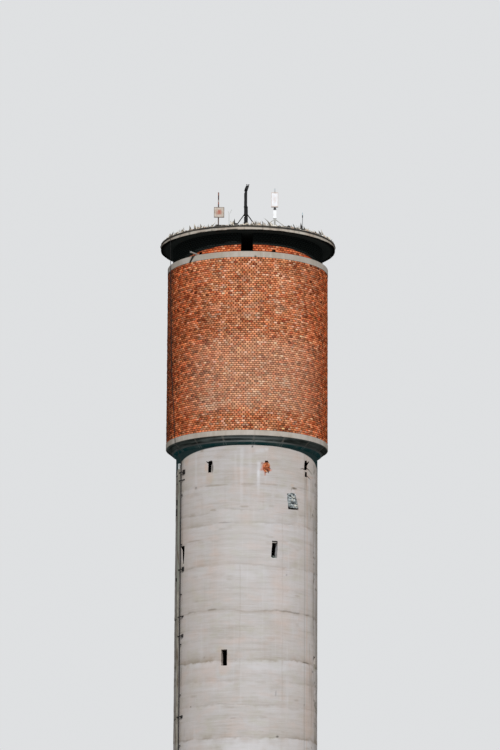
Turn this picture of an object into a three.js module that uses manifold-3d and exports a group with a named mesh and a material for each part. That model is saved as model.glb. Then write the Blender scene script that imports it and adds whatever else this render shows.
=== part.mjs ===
// Round water tower: a hollow cast concrete shaft, a wider brick tank drum between two concrete
// rings, a low brick attic storey, a thin overhanging roof slab and a few aerials on the roof.
// Millimetres, +Z up. The origin is the centre of the underside of the foundation, at ground level.
// Plan angles are in degrees. 0 points along -Y and they grow towards +X.

import * as THREE from 'three';
import { mergeVertices } from 'three/addons/utils/BufferGeometryUtils.js';
import Module from 'manifold-3d';

// Levels
const FOUNDATION_TOP = 300;
const LOWER_TIER_TOP = 13300;
const SHAFT_TOP = 26560;
const CORBEL_KINK = 26670;
const RING_BEAM_BOTTOM = 26855;
const DRUM_BOTTOM = 27040;
const DRUM_TOP = 33520;
const COVER_TOP = 33735;
const ROOF_BOTTOM = 34485;
const ROOF_CONCRETE_TOP = 34610;
const ROOF_TOP = 34665;

// Radii
const FOUNDATION_R = 2820;
const SHAFT_R = 2625;
const SHAFT_WALL = 250;
const CORBEL_KINK_R = 2840;
const RING_R = 3010;
const DRUM_R = 3000;
const DRUM_WALL = 250;
const ATTIC_R = 2810;
const ATTIC_WALL = 250;
const ROOF_R = 3275;
const FELT_R = 3300;
const ARC_STEP = 3.75;

// Wall openings
const DOOR_W = 900;
const DOOR_H = 2050;
const LIGHT_H = 580;
const LIGHT_W = 225;
const VENT_H = 430;
const VENT_W = 210;
const VENT_BOTTOM = 25600;
const LEFT_VENT_ANGLE = -29.5;
const FRONT_VENT_ANGLE = 16;
const RIGHT_VENT_ANGLE = 56;
const HATCH_W = 570;
const HATCH_H = 640;
const HATCH_ANGLE = 40.5;
const HATCH_BOTTOM = 24250;
const ATTIC_GAP_FROM = -5.1;
const ATTIC_GAP_TO = 3.65;
const MANHOLE = 800;
const SPOUT_ANGLE = -38;
const CUT_DEPTH = 700;
const CLEARANCE = 0.3;

// Services down the left side
const PIPE_R = 38;
const PIPE_ANGLE = -67.2;
const PIPE_AXIS_R = 2702;
const PIPE_TOP = 26120;
const CABLE_R = 20;
const WIRE_R = 10;
const CABLE_ANGLE = -63.8;
const CABLE_AXIS_R = 2682;
const CLIP_SPACING = 1840;
const PIPE_CLIPS = [25750, 22200, 19750, 16800, 13850, 10900, 7950, 5000, 2050];

// Mast and aerials on the roof
const MAST_R = 48;
const MAST_TOP = 36840;
const MAST_X = -86;
const COLLAR_LEVEL = 35940;
const TRIPOD_R = 1190;
const AERIAL_Y = -2700;
const FLAT_AERIAL_X = -1070;
const PANEL_AERIAL_X = 985;

// Colours from the weathered surfaces
const CONCRETE = { color: 0xb9b0a8, roughness: 0.93, metalness: 0 };
const RING_CONCRETE = { color: 0xaea498, roughness: 0.93, metalness: 0 };
const BRICK = { color: 0xb87450, roughness: 0.95, metalness: 0 };
const MORTAR_FILL = { color: 0x9a938a, roughness: 0.97, metalness: 0 };
const FELT = { color: 0x23252a, roughness: 0.85, metalness: 0 };
const DARK_STEEL = { color: 0x35383c, roughness: 0.55, metalness: 0.8 };
const RUSTY_STEEL = { color: 0x7a5a44, roughness: 0.8, metalness: 0.5 };
const ZINC = { color: 0x9a9c9c, roughness: 0.45, metalness: 0.85 };
const WHITE_PLASTIC = { color: 0xe4e4e0, roughness: 0.5, metalness: 0 };
const GREY_PLASTIC = { color: 0xa9a8a5, roughness: 0.5, metalness: 0 };

const wasm = await Module();
wasm.setup();

const tower = new THREE.Group();
tower.name = 'water_tower';

// Helpers

function addPiece(name, geometry, look) {
  const material = new THREE.MeshStandardMaterial(look);
  material.name = `${name}_material`;
  const mesh = new THREE.Mesh(geometry, material);
  mesh.name = name;
  tower.add(mesh);
  return mesh;
}

function radians(degrees) {
  return degrees * Math.PI / 180;
}

function planPoint(radius, degrees) {
  return new THREE.Vector2(radius * Math.sin(radians(degrees)), -radius * Math.cos(radians(degrees)));
}

function routePoint([radius, degrees, level]) {
  const point = planPoint(radius, degrees);
  return [point.x, point.y, level];
}

function toSolid(geometry) {
  let plain = geometry.clone();
  plain.deleteAttribute('normal');
  plain.deleteAttribute('uv');
  plain = mergeVertices(plain, 0.001);
  const vertProperties = new Float32Array(plain.attributes.position.array);
  const index = plain.index.array;
  const kept = [];
  for (let i = 0; i < index.length; i += 3) {
    const [a, b, c] = [index[i], index[i + 1], index[i + 2]];
    if (a !== b && b !== c && c !== a) {
      kept.push(a, b, c);
    }
  }
  const triVerts = new Uint32Array(kept);
  return new wasm.Manifold(new wasm.Mesh({ numProp: 3, vertProperties, triVerts }));
}

function toGeometry(solid) {
  const mesh = solid.getMesh();
  const geometry = new THREE.BufferGeometry();
  geometry.setAttribute('position', new THREE.BufferAttribute(new Float32Array(mesh.vertProperties), 3));
  geometry.setIndex(new THREE.BufferAttribute(new Uint32Array(mesh.triVerts), 1));
  geometry.computeVertexNormals();
  return geometry;
}

function cutFrom(geometry, cutters) {
  let solid = toSolid(geometry);
  for (const cutter of cutters) {
    solid = solid.subtract(toSolid(cutter));
  }
  return toGeometry(solid);
}

function joinAll(geometries) {
  let solid = toSolid(geometries[0]);
  for (const geometry of geometries.slice(1)) {
    solid = solid.add(toSolid(geometry));
  }
  return toGeometry(solid);
}

function extrudeUp(shape, low, high) {
  const geometry = new THREE.ExtrudeGeometry(shape, { depth: high - low, bevelEnabled: false });
  geometry.translate(0, 0, low);
  return geometry;
}

// A curved wall panel between two plan angles.
function wallPanel(outerR, thickness, low, high, fromDeg, toDeg) {
  const steps = Math.max(2, Math.round((toDeg - fromDeg) / ARC_STEP));
  const points = [];
  for (let i = 0; i <= steps; i += 1) {
    points.push(planPoint(outerR, fromDeg + (toDeg - fromDeg) * i / steps));
  }
  for (let i = steps; i >= 0; i -= 1) {
    points.push(planPoint(outerR - thickness, fromDeg + (toDeg - fromDeg) * i / steps));
  }
  return extrudeUp(new THREE.Shape(points), low, high);
}

// A round disc with an upright axis, made by turning its half section.
function turned(profile, segments = 96) {
  const geometry = new THREE.LatheGeometry(profile.map(([r, z]) => new THREE.Vector2(r, z)), segments);
  geometry.rotateX(Math.PI / 2);
  return geometry;
}

// A block that stands across a wall at a plan angle.
function wallBlock(width, depth, low, high, radius, degrees) {
  const geometry = new THREE.BoxGeometry(width, depth, high - low);
  geometry.translate(0, -radius, (low + high) / 2);
  geometry.rotateZ(radians(degrees));
  return geometry;
}

// A prism with an uneven outline that stands across a wall. Points are across, up.
function wallPrism(outline, depth, radius, degrees, level) {
  const shape = new THREE.Shape(outline.map(([x, z]) => new THREE.Vector2(x, z)));
  const geometry = new THREE.ExtrudeGeometry(shape, { depth, bevelEnabled: false });
  geometry.rotateX(Math.PI / 2);
  geometry.translate(0, -radius + depth / 2, level);
  geometry.rotateZ(radians(degrees));
  return geometry;
}

// A straight round bar between two points.
function bar(from, to, radius, sides = 12) {
  const start = new THREE.Vector3(...from);
  const end = new THREE.Vector3(...to);
  const along = end.clone().sub(start);
  const geometry = new THREE.CylinderGeometry(radius, radius, along.length(), sides);
  const turn = new THREE.Quaternion().setFromUnitVectors(new THREE.Vector3(0, 1, 0), along.normalize());
  geometry.applyQuaternion(turn);
  geometry.translate(...start.add(end).multiplyScalar(0.5).toArray());
  return geometry;
}

function boxAt(sizeX, sizeY, sizeZ, x, y, bottom) {
  const geometry = new THREE.BoxGeometry(sizeX, sizeY, sizeZ);
  geometry.translate(x, y, bottom + sizeZ / 2);
  return geometry;
}

// Light slits: level of the sill, then the plan angle of each slit.
const LIGHT_ROWS = [
  { bottom: 22440, angles: [-62, 22.3, 112.3, 202.3] },
  { bottom: 18500, angles: [-17.3, 72.7, 162.7, 252.7] },
  { bottom: 14560, angles: [-62, 22.3, 112.3, 202.3] },
  { bottom: 10620, angles: [-17.3, 72.7, 162.7, 252.7] },
  { bottom: 6680, angles: [-62, 22.3, 112.3, 202.3] },
];
const SOUND_VENTS = [102, 150.5, 196, 237];

// Broken edges of the two damaged vents: across, up from the sill.
const LEFT_VENT = [[-110, 0], [95, -6], [105, 210], [92, 420], [20, 436], [-70, 425], [-215, 470],
  [-235, 425], [-120, 330], [-104, 160]];
const RIGHT_VENT = [[-100, 10], [30, -8], [112, 30], [104, 190], [250, 250], [262, 300], [110, 290],
  [98, 500], [10, 580], [-86, 540], [-104, 320], [-250, 300], [-246, 262], [-108, 236]];

// Foundation, step and doorway

function addFoundation() {
  addPiece('foundation', turned([[0, 0], [FOUNDATION_R, 0], [FOUNDATION_R, FOUNDATION_TOP],
    [0, FOUNDATION_TOP]]), CONCRETE);
  const slab = boxAt(1200, 600, 150, 0, -2950, 0);
  const recess = new THREE.CylinderGeometry(FOUNDATION_R + CLEARANCE, FOUNDATION_R + CLEARANCE, 400, 96);
  recess.rotateX(Math.PI / 2);
  addPiece('door_step', cutFrom(slab, [recess]), CONCRETE);
}

function addDoorFrame() {
  const half = DOOR_W / 2 - CLEARANCE;
  const head = FOUNDATION_TOP + DOOR_H - CLEARANCE;
  const outline = [[-half, FOUNDATION_TOP], [-half + 60, FOUNDATION_TOP], [-half + 60, head - 60],
    [half - 60, head - 60], [half - 60, FOUNDATION_TOP], [half, FOUNDATION_TOP], [half, head], [-half, head]];
  addPiece('door_frame', wallPrism(outline, 70, 2520, 0, 0), RUSTY_STEEL);
}

// Shaft

const WALL_MIDDLE = SHAFT_R - SHAFT_WALL / 2;

function slitCutters(low, high, fromDeg, toDeg) {
  const cutters = [];
  const inside = (degrees, bottom) => {
    const turnedTo = ((degrees - fromDeg) % 360 + 360) % 360;
    return turnedTo < toDeg - fromDeg && bottom > low && bottom < high;
  };
  for (const row of LIGHT_ROWS) {
    for (const degrees of row.angles) {
      if (inside(degrees, row.bottom)) {
        cutters.push(wallBlock(LIGHT_W, CUT_DEPTH, row.bottom, row.bottom + LIGHT_H, WALL_MIDDLE, degrees));
      }
    }
  }
  for (const degrees of SOUND_VENTS) {
    if (inside(degrees, VENT_BOTTOM)) {
      cutters.push(wallBlock(VENT_W, CUT_DEPTH, VENT_BOTTOM, VENT_BOTTOM + VENT_H, WALL_MIDDLE, degrees));
    }
  }
  return cutters;
}

function addShaftTier(name, low, high, firstDeg, count, extras) {
  for (let i = 0; i < count; i += 1) {
    const fromDeg = firstDeg + 360 / count * i;
    const toDeg = fromDeg + 360 / count;
    const panel = wallPanel(SHAFT_R, SHAFT_WALL, low, high, fromDeg, toDeg);
    const cutters = slitCutters(low, high, fromDeg, toDeg).concat(extras[i] || []);
    const geometry = cutters.length > 0 ? cutFrom(panel, cutters) : panel;
    addPiece(`${name}_${i + 1}`, geometry, CONCRETE);
  }
}

function addShaft() {
  const door = wallBlock(DOOR_W, 900, FOUNDATION_TOP - 100, FOUNDATION_TOP + DOOR_H, WALL_MIDDLE, 0);
  addShaftTier('shaft_lower', FOUNDATION_TOP, LOWER_TIER_TOP, -30, 6, { 0: [door] });
  const hatch = wallBlock(HATCH_W, CUT_DEPTH, HATCH_BOTTOM, HATCH_BOTTOM + HATCH_H, WALL_MIDDLE, HATCH_ANGLE);
  const leftVent = wallPrism(LEFT_VENT, CUT_DEPTH, WALL_MIDDLE, LEFT_VENT_ANGLE, VENT_BOTTOM);
  const rightVent = wallPrism(RIGHT_VENT, CUT_DEPTH, WALL_MIDDLE, RIGHT_VENT_ANGLE, VENT_BOTTOM);
  const frontVent = wallBlock(VENT_W, CUT_DEPTH, VENT_BOTTOM, VENT_BOTTOM + VENT_H - 80, WALL_MIDDLE,
    FRONT_VENT_ANGLE);
  const extras = { 0: [leftVent], 1: [frontVent, hatch], 2: [rightVent] };
  addShaftTier('shaft_upper', LOWER_TIER_TOP, SHAFT_TOP, -41.5, 8, extras);
}

function addInfills() {
  const hatch = wallBlock(HATCH_W - 2 * CLEARANCE, 170, HATCH_BOTTOM + CLEARANCE,
    HATCH_BOTTOM + HATCH_H - CLEARANCE, WALL_MIDDLE - 20, HATCH_ANGLE);
  addPiece('walled_hatch', hatch, MORTAR_FILL);
  const vent = wallBlock(VENT_W - 2 * CLEARANCE, 180, VENT_BOTTOM + CLEARANCE, VENT_BOTTOM + VENT_H - 140,
    WALL_MIDDLE, FRONT_VENT_ANGLE);
  addPiece('bricked_vent', vent, BRICK);
}

// Tank drum, its floor and its cover

function addTank() {
  addPiece('tank_floor', turned([[0, SHAFT_TOP], [SHAFT_R + 5, SHAFT_TOP], [CORBEL_KINK_R, CORBEL_KINK],
    [RING_R, RING_BEAM_BOTTOM], [RING_R, DRUM_BOTTOM], [0, DRUM_BOTTOM]]), RING_CONCRETE);
  for (let i = 0; i < 6; i += 1) {
    const fromDeg = -30 + 60 * i;
    addPiece(`tank_wall_${i + 1}`, wallPanel(DRUM_R, DRUM_WALL, DRUM_BOTTOM, DRUM_TOP, fromDeg, fromDeg + 60),
      BRICK);
  }
  const outline = [];
  for (let degrees = 0; degrees < 360; degrees += ARC_STEP) {
    outline.push(planPoint(RING_R, degrees));
  }
  const cover = new THREE.Shape(outline);
  const half = MANHOLE / 2;
  cover.holes.push(new THREE.Path([new THREE.Vector2(-half, -half), new THREE.Vector2(-half, half),
    new THREE.Vector2(half, half), new THREE.Vector2(half, -half)]));
  addPiece('tank_cover', extrudeUp(cover, DRUM_TOP, COVER_TOP), RING_CONCRETE);
}

// Attic storey and roof

function addAttic() {
  const turns = [ATTIC_GAP_TO, 90, 180, 270, 360 + ATTIC_GAP_FROM];
  const middle = ATTIC_R - ATTIC_WALL / 2;
  const drains = {
    0: [wallBlock(190, 500, COVER_TOP + 30, COVER_TOP + 90, middle, 20.4)],
    3: [wallBlock(150, 500, COVER_TOP + 20, COVER_TOP + 150, middle, SPOUT_ANGLE)],
  };
  for (let i = 0; i < 4; i += 1) {
    const panel = wallPanel(ATTIC_R, ATTIC_WALL, COVER_TOP, ROOF_BOTTOM, turns[i], turns[i + 1]);
    addPiece(`attic_wall_${i + 1}`, drains[i] ? cutFrom(panel, drains[i]) : panel, BRICK);
  }
}

function addRoof() {
  addPiece('roof_slab', turned([[0, ROOF_BOTTOM], [ROOF_R, ROOF_BOTTOM], [ROOF_R, ROOF_CONCRETE_TOP],
    [0, ROOF_CONCRETE_TOP]]), RING_CONCRETE);
  addPiece('roof_felt', turned([[0, ROOF_CONCRETE_TOP], [FELT_R, ROOF_CONCRETE_TOP], [FELT_R, ROOF_TOP],
    [0, ROOF_TOP]]), FELT);
}

// A short pipe that leans out through the foot of the attic wall.
function addSpout() {
  const start = routePoint([2660, SPOUT_ANGLE, COVER_TOP + 60]);
  const end = routePoint([3330, SPOUT_ANGLE, COVER_TOP + 290]);
  const sleeve = wallBlock(150 - 2 * CLEARANCE, 190, COVER_TOP + 20 + CLEARANCE, COVER_TOP + 150 - CLEARANCE,
    ATTIC_R - ATTIC_WALL / 2, SPOUT_ANGLE);
  addPiece('roof_spout', joinAll([bar(start, end, 32, 12), sleeve]), ZINC);
}

// Services down the left side

function polyBar(points, radius, sides) {
  const parts = [];
  for (let i = 0; i + 1 < points.length; i += 1) {
    parts.push(bar(points[i], points[i + 1], radius, sides));
    if (i > 0) {
      const knuckle = new THREE.SphereGeometry(radius * 1.03, sides, 6);
      knuckle.translate(...points[i]);
      parts.push(knuckle);
    }
  }
  return parts;
}

// A wire from the roof over its edge and down the drum, then a thicker covered cable down the shaft
function addDownConductor() {
  const wire = [[330, -60.3, ROOF_TOP + 10.3], [3311, -60.3, ROOF_TOP + 10.3], [3311, -60.3, 34470],
    [3032, -71.7, 33700], [3032, -70.4, 32800], [3032, -67.3, 29700], [3032, -60.2, 26830],
    [CABLE_AXIS_R, CABLE_ANGLE, 26200]].map(routePoint);
  const cable = [[CABLE_AXIS_R, CABLE_ANGLE, 26215],
    [CABLE_AXIS_R, CABLE_ANGLE, FOUNDATION_TOP + CLEARANCE]].map(routePoint);
  const parts = [...polyBar(wire, WIRE_R, 8), ...polyBar(cable, CABLE_R, 10)];
  parts.push(wallBlock(40, 31.5, 32785, 32815, 3016.25, -70.4));
  parts.push(wallBlock(40, 31.5, 29685, 29715, 3016.25, -67.3));
  for (let level = 24960; level > 600; level -= CLIP_SPACING) {
    parts.push(wallBlock(50, 56.5, level - 15, level + 15, 2653.75, CABLE_ANGLE));
  }
  addPiece('down_conductor', joinAll(parts), DARK_STEEL);
}

function addServicePipe() {
  const route = [[SHAFT_R + 1, PIPE_ANGLE, PIPE_TOP], [PIPE_AXIS_R, PIPE_ANGLE, PIPE_TOP],
    [PIPE_AXIS_R, PIPE_ANGLE, FOUNDATION_TOP + CLEARANCE]].map(routePoint);
  const parts = polyBar(route, PIPE_R, 12);
  for (const level of PIPE_CLIPS) {
    parts.push(wallBlock(110, 54, level - 20, level + 20, 2653.5, PIPE_ANGLE));
  }
  addPiece('service_pipe', joinAll(parts), ZINC);
}

// Mast on the middle of the roof

function addMast() {
  const plate = boxAt(220, 220, 15, MAST_X, 0, ROOF_TOP);
  const pole = bar([MAST_X, 0, ROOF_TOP + 5], [MAST_X, 0, MAST_TOP], MAST_R, 16);
  addPiece('mast', joinAll([plate, pole]), DARK_STEEL);
  const lean = bar([MAST_X - 5, 0, MAST_TOP + 20.3], [MAST_X + 62, 0, MAST_TOP + 205], 42, 12);
  const cap = bar([MAST_X, 0, MAST_TOP], [MAST_X, 0, MAST_TOP + 45], MAST_R + 6, 16);
  const prongs = [-1, 1].map((side) => bar([MAST_X + 58 + side * 18, 0, MAST_TOP + 180],
    [MAST_X + 72 + side * 40, 0, MAST_TOP + 272], 20, 8));
  addPiece('mast_head', joinAll([cap, lean, ...prongs]), DARK_STEEL);
}

// Three raking struts from a collar on the mast to foot plates on the roof
function addTripod() {
  const inner = MAST_R + 0.8;
  const outer = MAST_R + 22;
  const collar = turned([[inner, COLLAR_LEVEL - 50], [outer, COLLAR_LEVEL - 50], [outer, COLLAR_LEVEL + 50],
    [inner, COLLAR_LEVEL + 50], [inner, COLLAR_LEVEL - 50]], 32);
  collar.translate(MAST_X, 0, 0);
  const legs = [collar];
  for (const degrees of [0, 120, 240]) {
    const top = planPoint(outer - 2, degrees);
    const foot = planPoint(TRIPOD_R, degrees);
    legs.push(bar([MAST_X + top.x, top.y, COLLAR_LEVEL], [MAST_X + foot.x, foot.y, ROOF_TOP + 17], 19, 10));
    legs.push(boxAt(130, 130, 12, MAST_X + foot.x, foot.y, ROOF_TOP));
  }
  addPiece('mast_tripod', joinAll(legs), DARK_STEEL);
}

// Two small aerials near the front edge of the roof, each on a ballast block

function addFlatAerial() {
  const postR = 22;
  const postX = FLAT_AERIAL_X - 25;
  const postFoot = ROOF_TOP + 110;
  addPiece('flat_aerial_base', boxAt(300, 260, 110, FLAT_AERIAL_X, AERIAL_Y, ROOF_TOP), MORTAR_FILL);
  const post = bar([postX, AERIAL_Y, postFoot], [postX, AERIAL_Y, 36040], postR, 12);
  addPiece('flat_aerial_post', post, ZINC);
  const plateY = AERIAL_Y - postR - 17 - CLEARANCE;
  addPiece('flat_aerial', boxAt(380, 34, 395, FLAT_AERIAL_X, plateY, 35072), GREY_PLASTIC);
}

function addPanelAerial() {
  const x = PANEL_AERIAL_X;
  const y = AERIAL_Y;
  addPiece('panel_aerial_base', boxAt(880, 300, 70, x, y, ROOF_TOP), MORTAR_FILL);
  const top = ROOF_TOP + 70;
  const legs = [bar([x, y, top], [x, y, 35055], 30, 12)];
  for (const side of [-1, 1]) {
    legs.push(bar([x, y, 35035], [x + side * 375, y, top + 16], 14, 8));
    legs.push(boxAt(90, 90, 10, x + side * 380, y, top));
  }
  addPiece('panel_aerial_legs', joinAll(legs), ZINC);
  const postR = 24;
  const box = boxAt(122, 90, 332, x, y, 35055);
  const clamp = boxAt(92, 110, 72, x, y, 35387);
  const pole = bar([x, y, 35440], [x, y, 36200], postR, 12);
  addPiece('panel_aerial_post', joinAll([box, clamp, pole]), ZINC);
  addPiece('panel_aerial', boxAt(257, 80, 556, x - 8, y - postR - 40 - 0.5, 35472), WHITE_PLASTIC);
}

function whip(x, y, sides, rods) {
  const parts = [boxAt(90, 90, 14, x, y, ROOF_TOP)];
  for (const [from, to, radius] of rods) {
    parts.push(bar([x + from[0], y, from[1]], [x + to[0], y, to[1]], radius, sides));
  }
  return joinAll(parts);
}

function addWhips() {
  addPiece('left_whip', whip(-703, -2780, 8, [[[0, ROOF_TOP + 10], [0, 35175], 9],
    [[0, 35165], [104, 35365], 6], [[0, 35165], [-35, 35310], 6]]), ZINC);
  addPiece('right_whip', whip(2012, -2330, 8, [[[0, ROOF_TOP + 10], [0, 35200], 8],
    [[0, 35190], [0, 35385], 17]]), DARK_STEEL);
}

// A thin cable between two small boxes at the right edge of the roof
function addEdgeCable() {
  const first = [2140, -2320, ROOF_TOP + 85];
  const second = [2830, -1400, ROOF_TOP + 85];
  const parts = [boxAt(90, 80, 110, first[0], first[1], ROOF_TOP), bar(first, second, 10, 8),
    boxAt(90, 80, 110, second[0], second[1], ROOF_TOP)];
  addPiece('edge_cable', joinAll(parts), WHITE_PLASTIC);
}

addFoundation();
addDoorFrame();
addShaft();
addInfills();
addTank();
addAttic();
addRoof();
addSpout();
addDownConductor();
addServicePipe();
addMast();
addTripod();
addFlatAerial();
addPanelAerial();
addWhips();
addEdgeCable();

export default tower;
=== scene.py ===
# Looks of a round water tower: weathered cast concrete, header-bond brickwork, a ribbed corbel under the
# tank, a stained roof slab and the small things on the roof. Metres, +Z up. Plan angles are in degrees:
# 0 points along -Y, and they grow towards +X.

import itertools
import math

import bpy
import numpy as np
from mathutils import Euler, Matrix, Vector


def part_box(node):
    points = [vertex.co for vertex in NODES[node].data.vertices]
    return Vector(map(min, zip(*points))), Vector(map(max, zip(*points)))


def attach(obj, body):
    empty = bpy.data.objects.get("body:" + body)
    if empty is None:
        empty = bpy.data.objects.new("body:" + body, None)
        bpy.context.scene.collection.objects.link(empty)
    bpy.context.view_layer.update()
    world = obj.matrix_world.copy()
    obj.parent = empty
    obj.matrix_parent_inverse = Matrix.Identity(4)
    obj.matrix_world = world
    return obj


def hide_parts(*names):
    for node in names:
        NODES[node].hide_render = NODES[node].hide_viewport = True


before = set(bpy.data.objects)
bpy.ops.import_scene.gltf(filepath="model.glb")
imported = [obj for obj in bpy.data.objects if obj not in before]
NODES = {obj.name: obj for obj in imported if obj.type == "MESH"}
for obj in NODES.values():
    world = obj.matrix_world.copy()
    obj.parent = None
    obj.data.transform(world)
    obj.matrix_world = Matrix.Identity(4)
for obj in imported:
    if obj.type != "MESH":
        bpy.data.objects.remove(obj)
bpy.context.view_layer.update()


def foot(node):
    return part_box(node)[0].z


def head(node):
    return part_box(node)[1].z


# Levels, all from the frame
FLOOR_LEVEL = head("foundation")
TIER = head("shaft_lower_1")
SHAFT_TOP = head("shaft_upper_1")
RING_TOP = foot("tank_wall_1")
DRUM_TOP = head("tank_wall_1")
COVER_TOP = foot("attic_wall_1")
ROOF_BOTTOM = head("attic_wall_1")
ROOF_CONCRETE = foot("roof_felt")
ROOF_TOP = head("roof_felt")

# Radii and wall thickness
SHAFT_R = 2.625
WALL = 0.25
CORBEL_KINK_R = 2.788
CORBEL_KINK = 26.681
CORBEL_FOOT = 26.59
RING_BEAM_BOTTOM = 26.855
RING_R = 3.01
DRUM_R = 3.0
ATTIC_R = 2.81
ROOF_R = 3.275
FELT_R = 3.3

# Ribs under the ring beam: the first one's plan angle, the step between two, and half of one's width.
# A pale line, a painted highlight that fades out away from the front, crosses the panels between them.
RIB_FIRST = -39.9
RIB_STEP = 22.5
RIB_HALF = 0.75
UNDER_HIGHLIGHT = 26.782

# Brickwork
BRICK_PITCH = 0.131
COURSE = 0.0771
PERPEND = 0.023
BED_JOINT = 0.016
JOINT_DEPTH = 0.03
BEVEL = 0.006

# Wall panels of the shaft's two tiers and of the drum: first angle and number of panels round
LOWER_START = -30.0
LOWER_COUNT = 6
UPPER_START = -41.5
UPPER_COUNT = 8
DRUM_START = -30.0
DRUM_COUNT = 6

# Openings in the shaft
LIGHT_W = 0.225
LIGHT_H = 0.58
VENT_W = 0.21
VENT_H = 0.43
VENT_BOTTOM = 25.6
DOOR_W = 0.9
DOOR_HEAD = 2.35
HATCH_ANGLE = 40.5
HATCH_BOTTOM = 24.25
LEFT_VENT_ANGLE = -29.5
FRONT_VENT_ANGLE = 16.0
RIGHT_VENT_ANGLE = 56.0
LEFT_SLIT_ANGLE = -62.0
FRONT_SLIT_ANGLE = 22.3
EVEN_SLITS = (LEFT_SLIT_ANGLE, FRONT_SLIT_ANGLE, 112.3, 202.3)
ODD_SLITS = (-17.3, 72.7, 162.7, 252.7)
TOP_ROW = 22.44
LIGHT_ROWS = [(TOP_ROW, EVEN_SLITS), (18.5, ODD_SLITS), (14.56, EVEN_SLITS), (10.62, ODD_SLITS),
              (6.68, EVEN_SLITS)]
SOUND_VENTS = [102.0, 150.5, 196.0, 237.0]
CUT_START = SHAFT_R + 0.35
CUT_DEPTH = 0.7
LIP = 0.02
ATTIC_GAP = (-5.1, 3.65)

SPOUT_ANGLE = -39.8
MAST_X = -0.086
MAST_R = 0.048

# Light: the sun's direction, size and strength, the sky's strength on the tower and as it is seen
SUN_AZIMUTH = 4.3
SUN_HEIGHT = 37.0
SUN_SIZE = 2.5
SUN_STRENGTH = 2.84
SKY_LIGHT = 0.3
BACKDROP = 0.76

# How steeply the painted shadow lines of the overhangs fall, under the ring beam and under the roof
RING_SLOPE = 0.755
ROOF_SLOPE = 0.888

# The camera stands on the ground in front of the tower and looks up at its top.
CAMERA_DISTANCE = 127.47
EYE_LEVEL = 1.6
CAMERA_PITCH = 12.449
CAMERA_ROLL = 0.297
CAMERA_YAW = 0.046
LENS = 168.0


# Numbers and shapes


def polar(radius, degrees, level):
    angle = np.radians(degrees)
    x, y, z = np.broadcast_arrays(radius * np.sin(angle), -radius * np.cos(angle), level)
    return np.stack([x, y, z], axis=-1).astype(float)


def plan_angle(points):
    return np.degrees(np.arctan2(points[:, 0], -points[:, 1]))


def lattice(cell, seed):
    mix = (cell[..., 0] * 374761393 + cell[..., 1] * 668265263 + cell[..., 2] * 1274126177 + seed * 362437)
    mix &= 0xFFFFFFFF
    mix = ((mix ^ (mix >> 13)) * 1274126177) & 0xFFFFFFFF
    return (mix ^ (mix >> 16)) / 0xFFFFFFFF * 2.0 - 1.0


def value_noise(points, seed):
    """Smooth noise from -1 to 1 with one bump a unit."""
    cell = np.floor(points).astype(np.int64)
    part = points - cell
    part = part * part * (3.0 - 2.0 * part)
    total = np.zeros(points.shape[:-1])
    for corner in np.ndindex(2, 2, 2):
        weight = np.ones(points.shape[:-1])
        for axis in range(3):
            weight *= part[..., axis] if corner[axis] else 1.0 - part[..., axis]
        total += weight * lattice(cell + np.array(corner), seed)
    return total


def layered_noise(points, scale, seed, layers=3):
    scaled = points * np.asarray(scale, float)
    total = np.zeros(points.shape[:-1])
    for layer in range(layers):
        total += 0.5 ** layer * value_noise(scaled, seed + layer)
        scaled = scaled * 2.03
    return total


def ramp(value, low, high):
    """From zero at low to one at high, with soft ends. Low may be the larger number."""
    part = np.clip((value - low) / (high - low), 0.0, 1.0)
    return part * part * (3.0 - 2.0 * part)


def bell(value, width):
    return np.exp(-(value / width) ** 2)


def near(value, centre, reach):
    return np.exp(-np.abs(value - centre) / reach)


def angle_gap(degrees, centre):
    return (np.asarray(degrees) - centre + 180.0) % 360.0 - 180.0


def off(degrees, centre):
    """How many degrees an angle is from the centre, to either side."""
    return np.abs(angle_gap(degrees, centre))


def folded(degrees):
    """How many degrees an angle is from the front or the back, whichever is nearer."""
    return np.minimum(np.abs(degrees), 180.0 - np.abs(degrees))


def make_mesh(name, verts, faces, material_index=None):
    """A mesh from a vertex array and a list of face arrays, each with one number of corners."""
    mesh = bpy.data.meshes.new(name)
    corners = np.concatenate([np.asarray(f, np.int32).ravel() for f in faces])
    totals = np.concatenate([np.full(len(f), np.shape(f)[1], np.int32) for f in faces])
    starts = np.concatenate([[0], np.cumsum(totals)[:-1]]).astype(np.int32)
    mesh.vertices.add(len(verts))
    mesh.vertices.foreach_set("co", np.asarray(verts, np.float32).ravel())
    mesh.loops.add(len(corners))
    mesh.loops.foreach_set("vertex_index", corners)
    mesh.polygons.add(len(totals))
    mesh.polygons.foreach_set("loop_start", starts)
    if material_index is not None:
        mesh.polygons.foreach_set("material_index", np.asarray(material_index, np.int32))
    mesh.update(calc_edges=True)
    mesh.validate()
    return mesh


def set_smooth(mesh, sharp_degrees):
    mesh.polygons.foreach_set("use_smooth", np.ones(len(mesh.polygons), bool))
    mesh.set_sharp_from_angle(angle=math.radians(sharp_degrees))
    mesh.update()


def paint(mesh, name, values):
    layer = mesh.attributes.new(name, "FLOAT", "POINT")
    layer.data.foreach_set("value", np.asarray(values, np.float32))


def paint_layers(mesh, layers):
    for name, values in layers.items():
        paint(mesh, name, np.clip(values, 0.0, 1.0))


def paint_colour(mesh, name, colours):
    layer = mesh.attributes.new(name, "FLOAT_COLOR", "POINT")
    full = np.ones((len(mesh.vertices), 4), np.float32)
    full[:, :3] = colours
    layer.data.foreach_set("color", full.ravel())


def corners_of(mesh):
    flat = np.empty(len(mesh.vertices) * 3, np.float32)
    mesh.vertices.foreach_get("co", flat)
    return flat.reshape(-1, 3).astype(float)


def measured(mesh):
    """A mesh's points, with their plan angles, distances from the axis and levels."""
    points = corners_of(mesh)
    return points, plan_angle(points), np.hypot(points[:, 0], points[:, 1]), points[:, 2]


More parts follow.
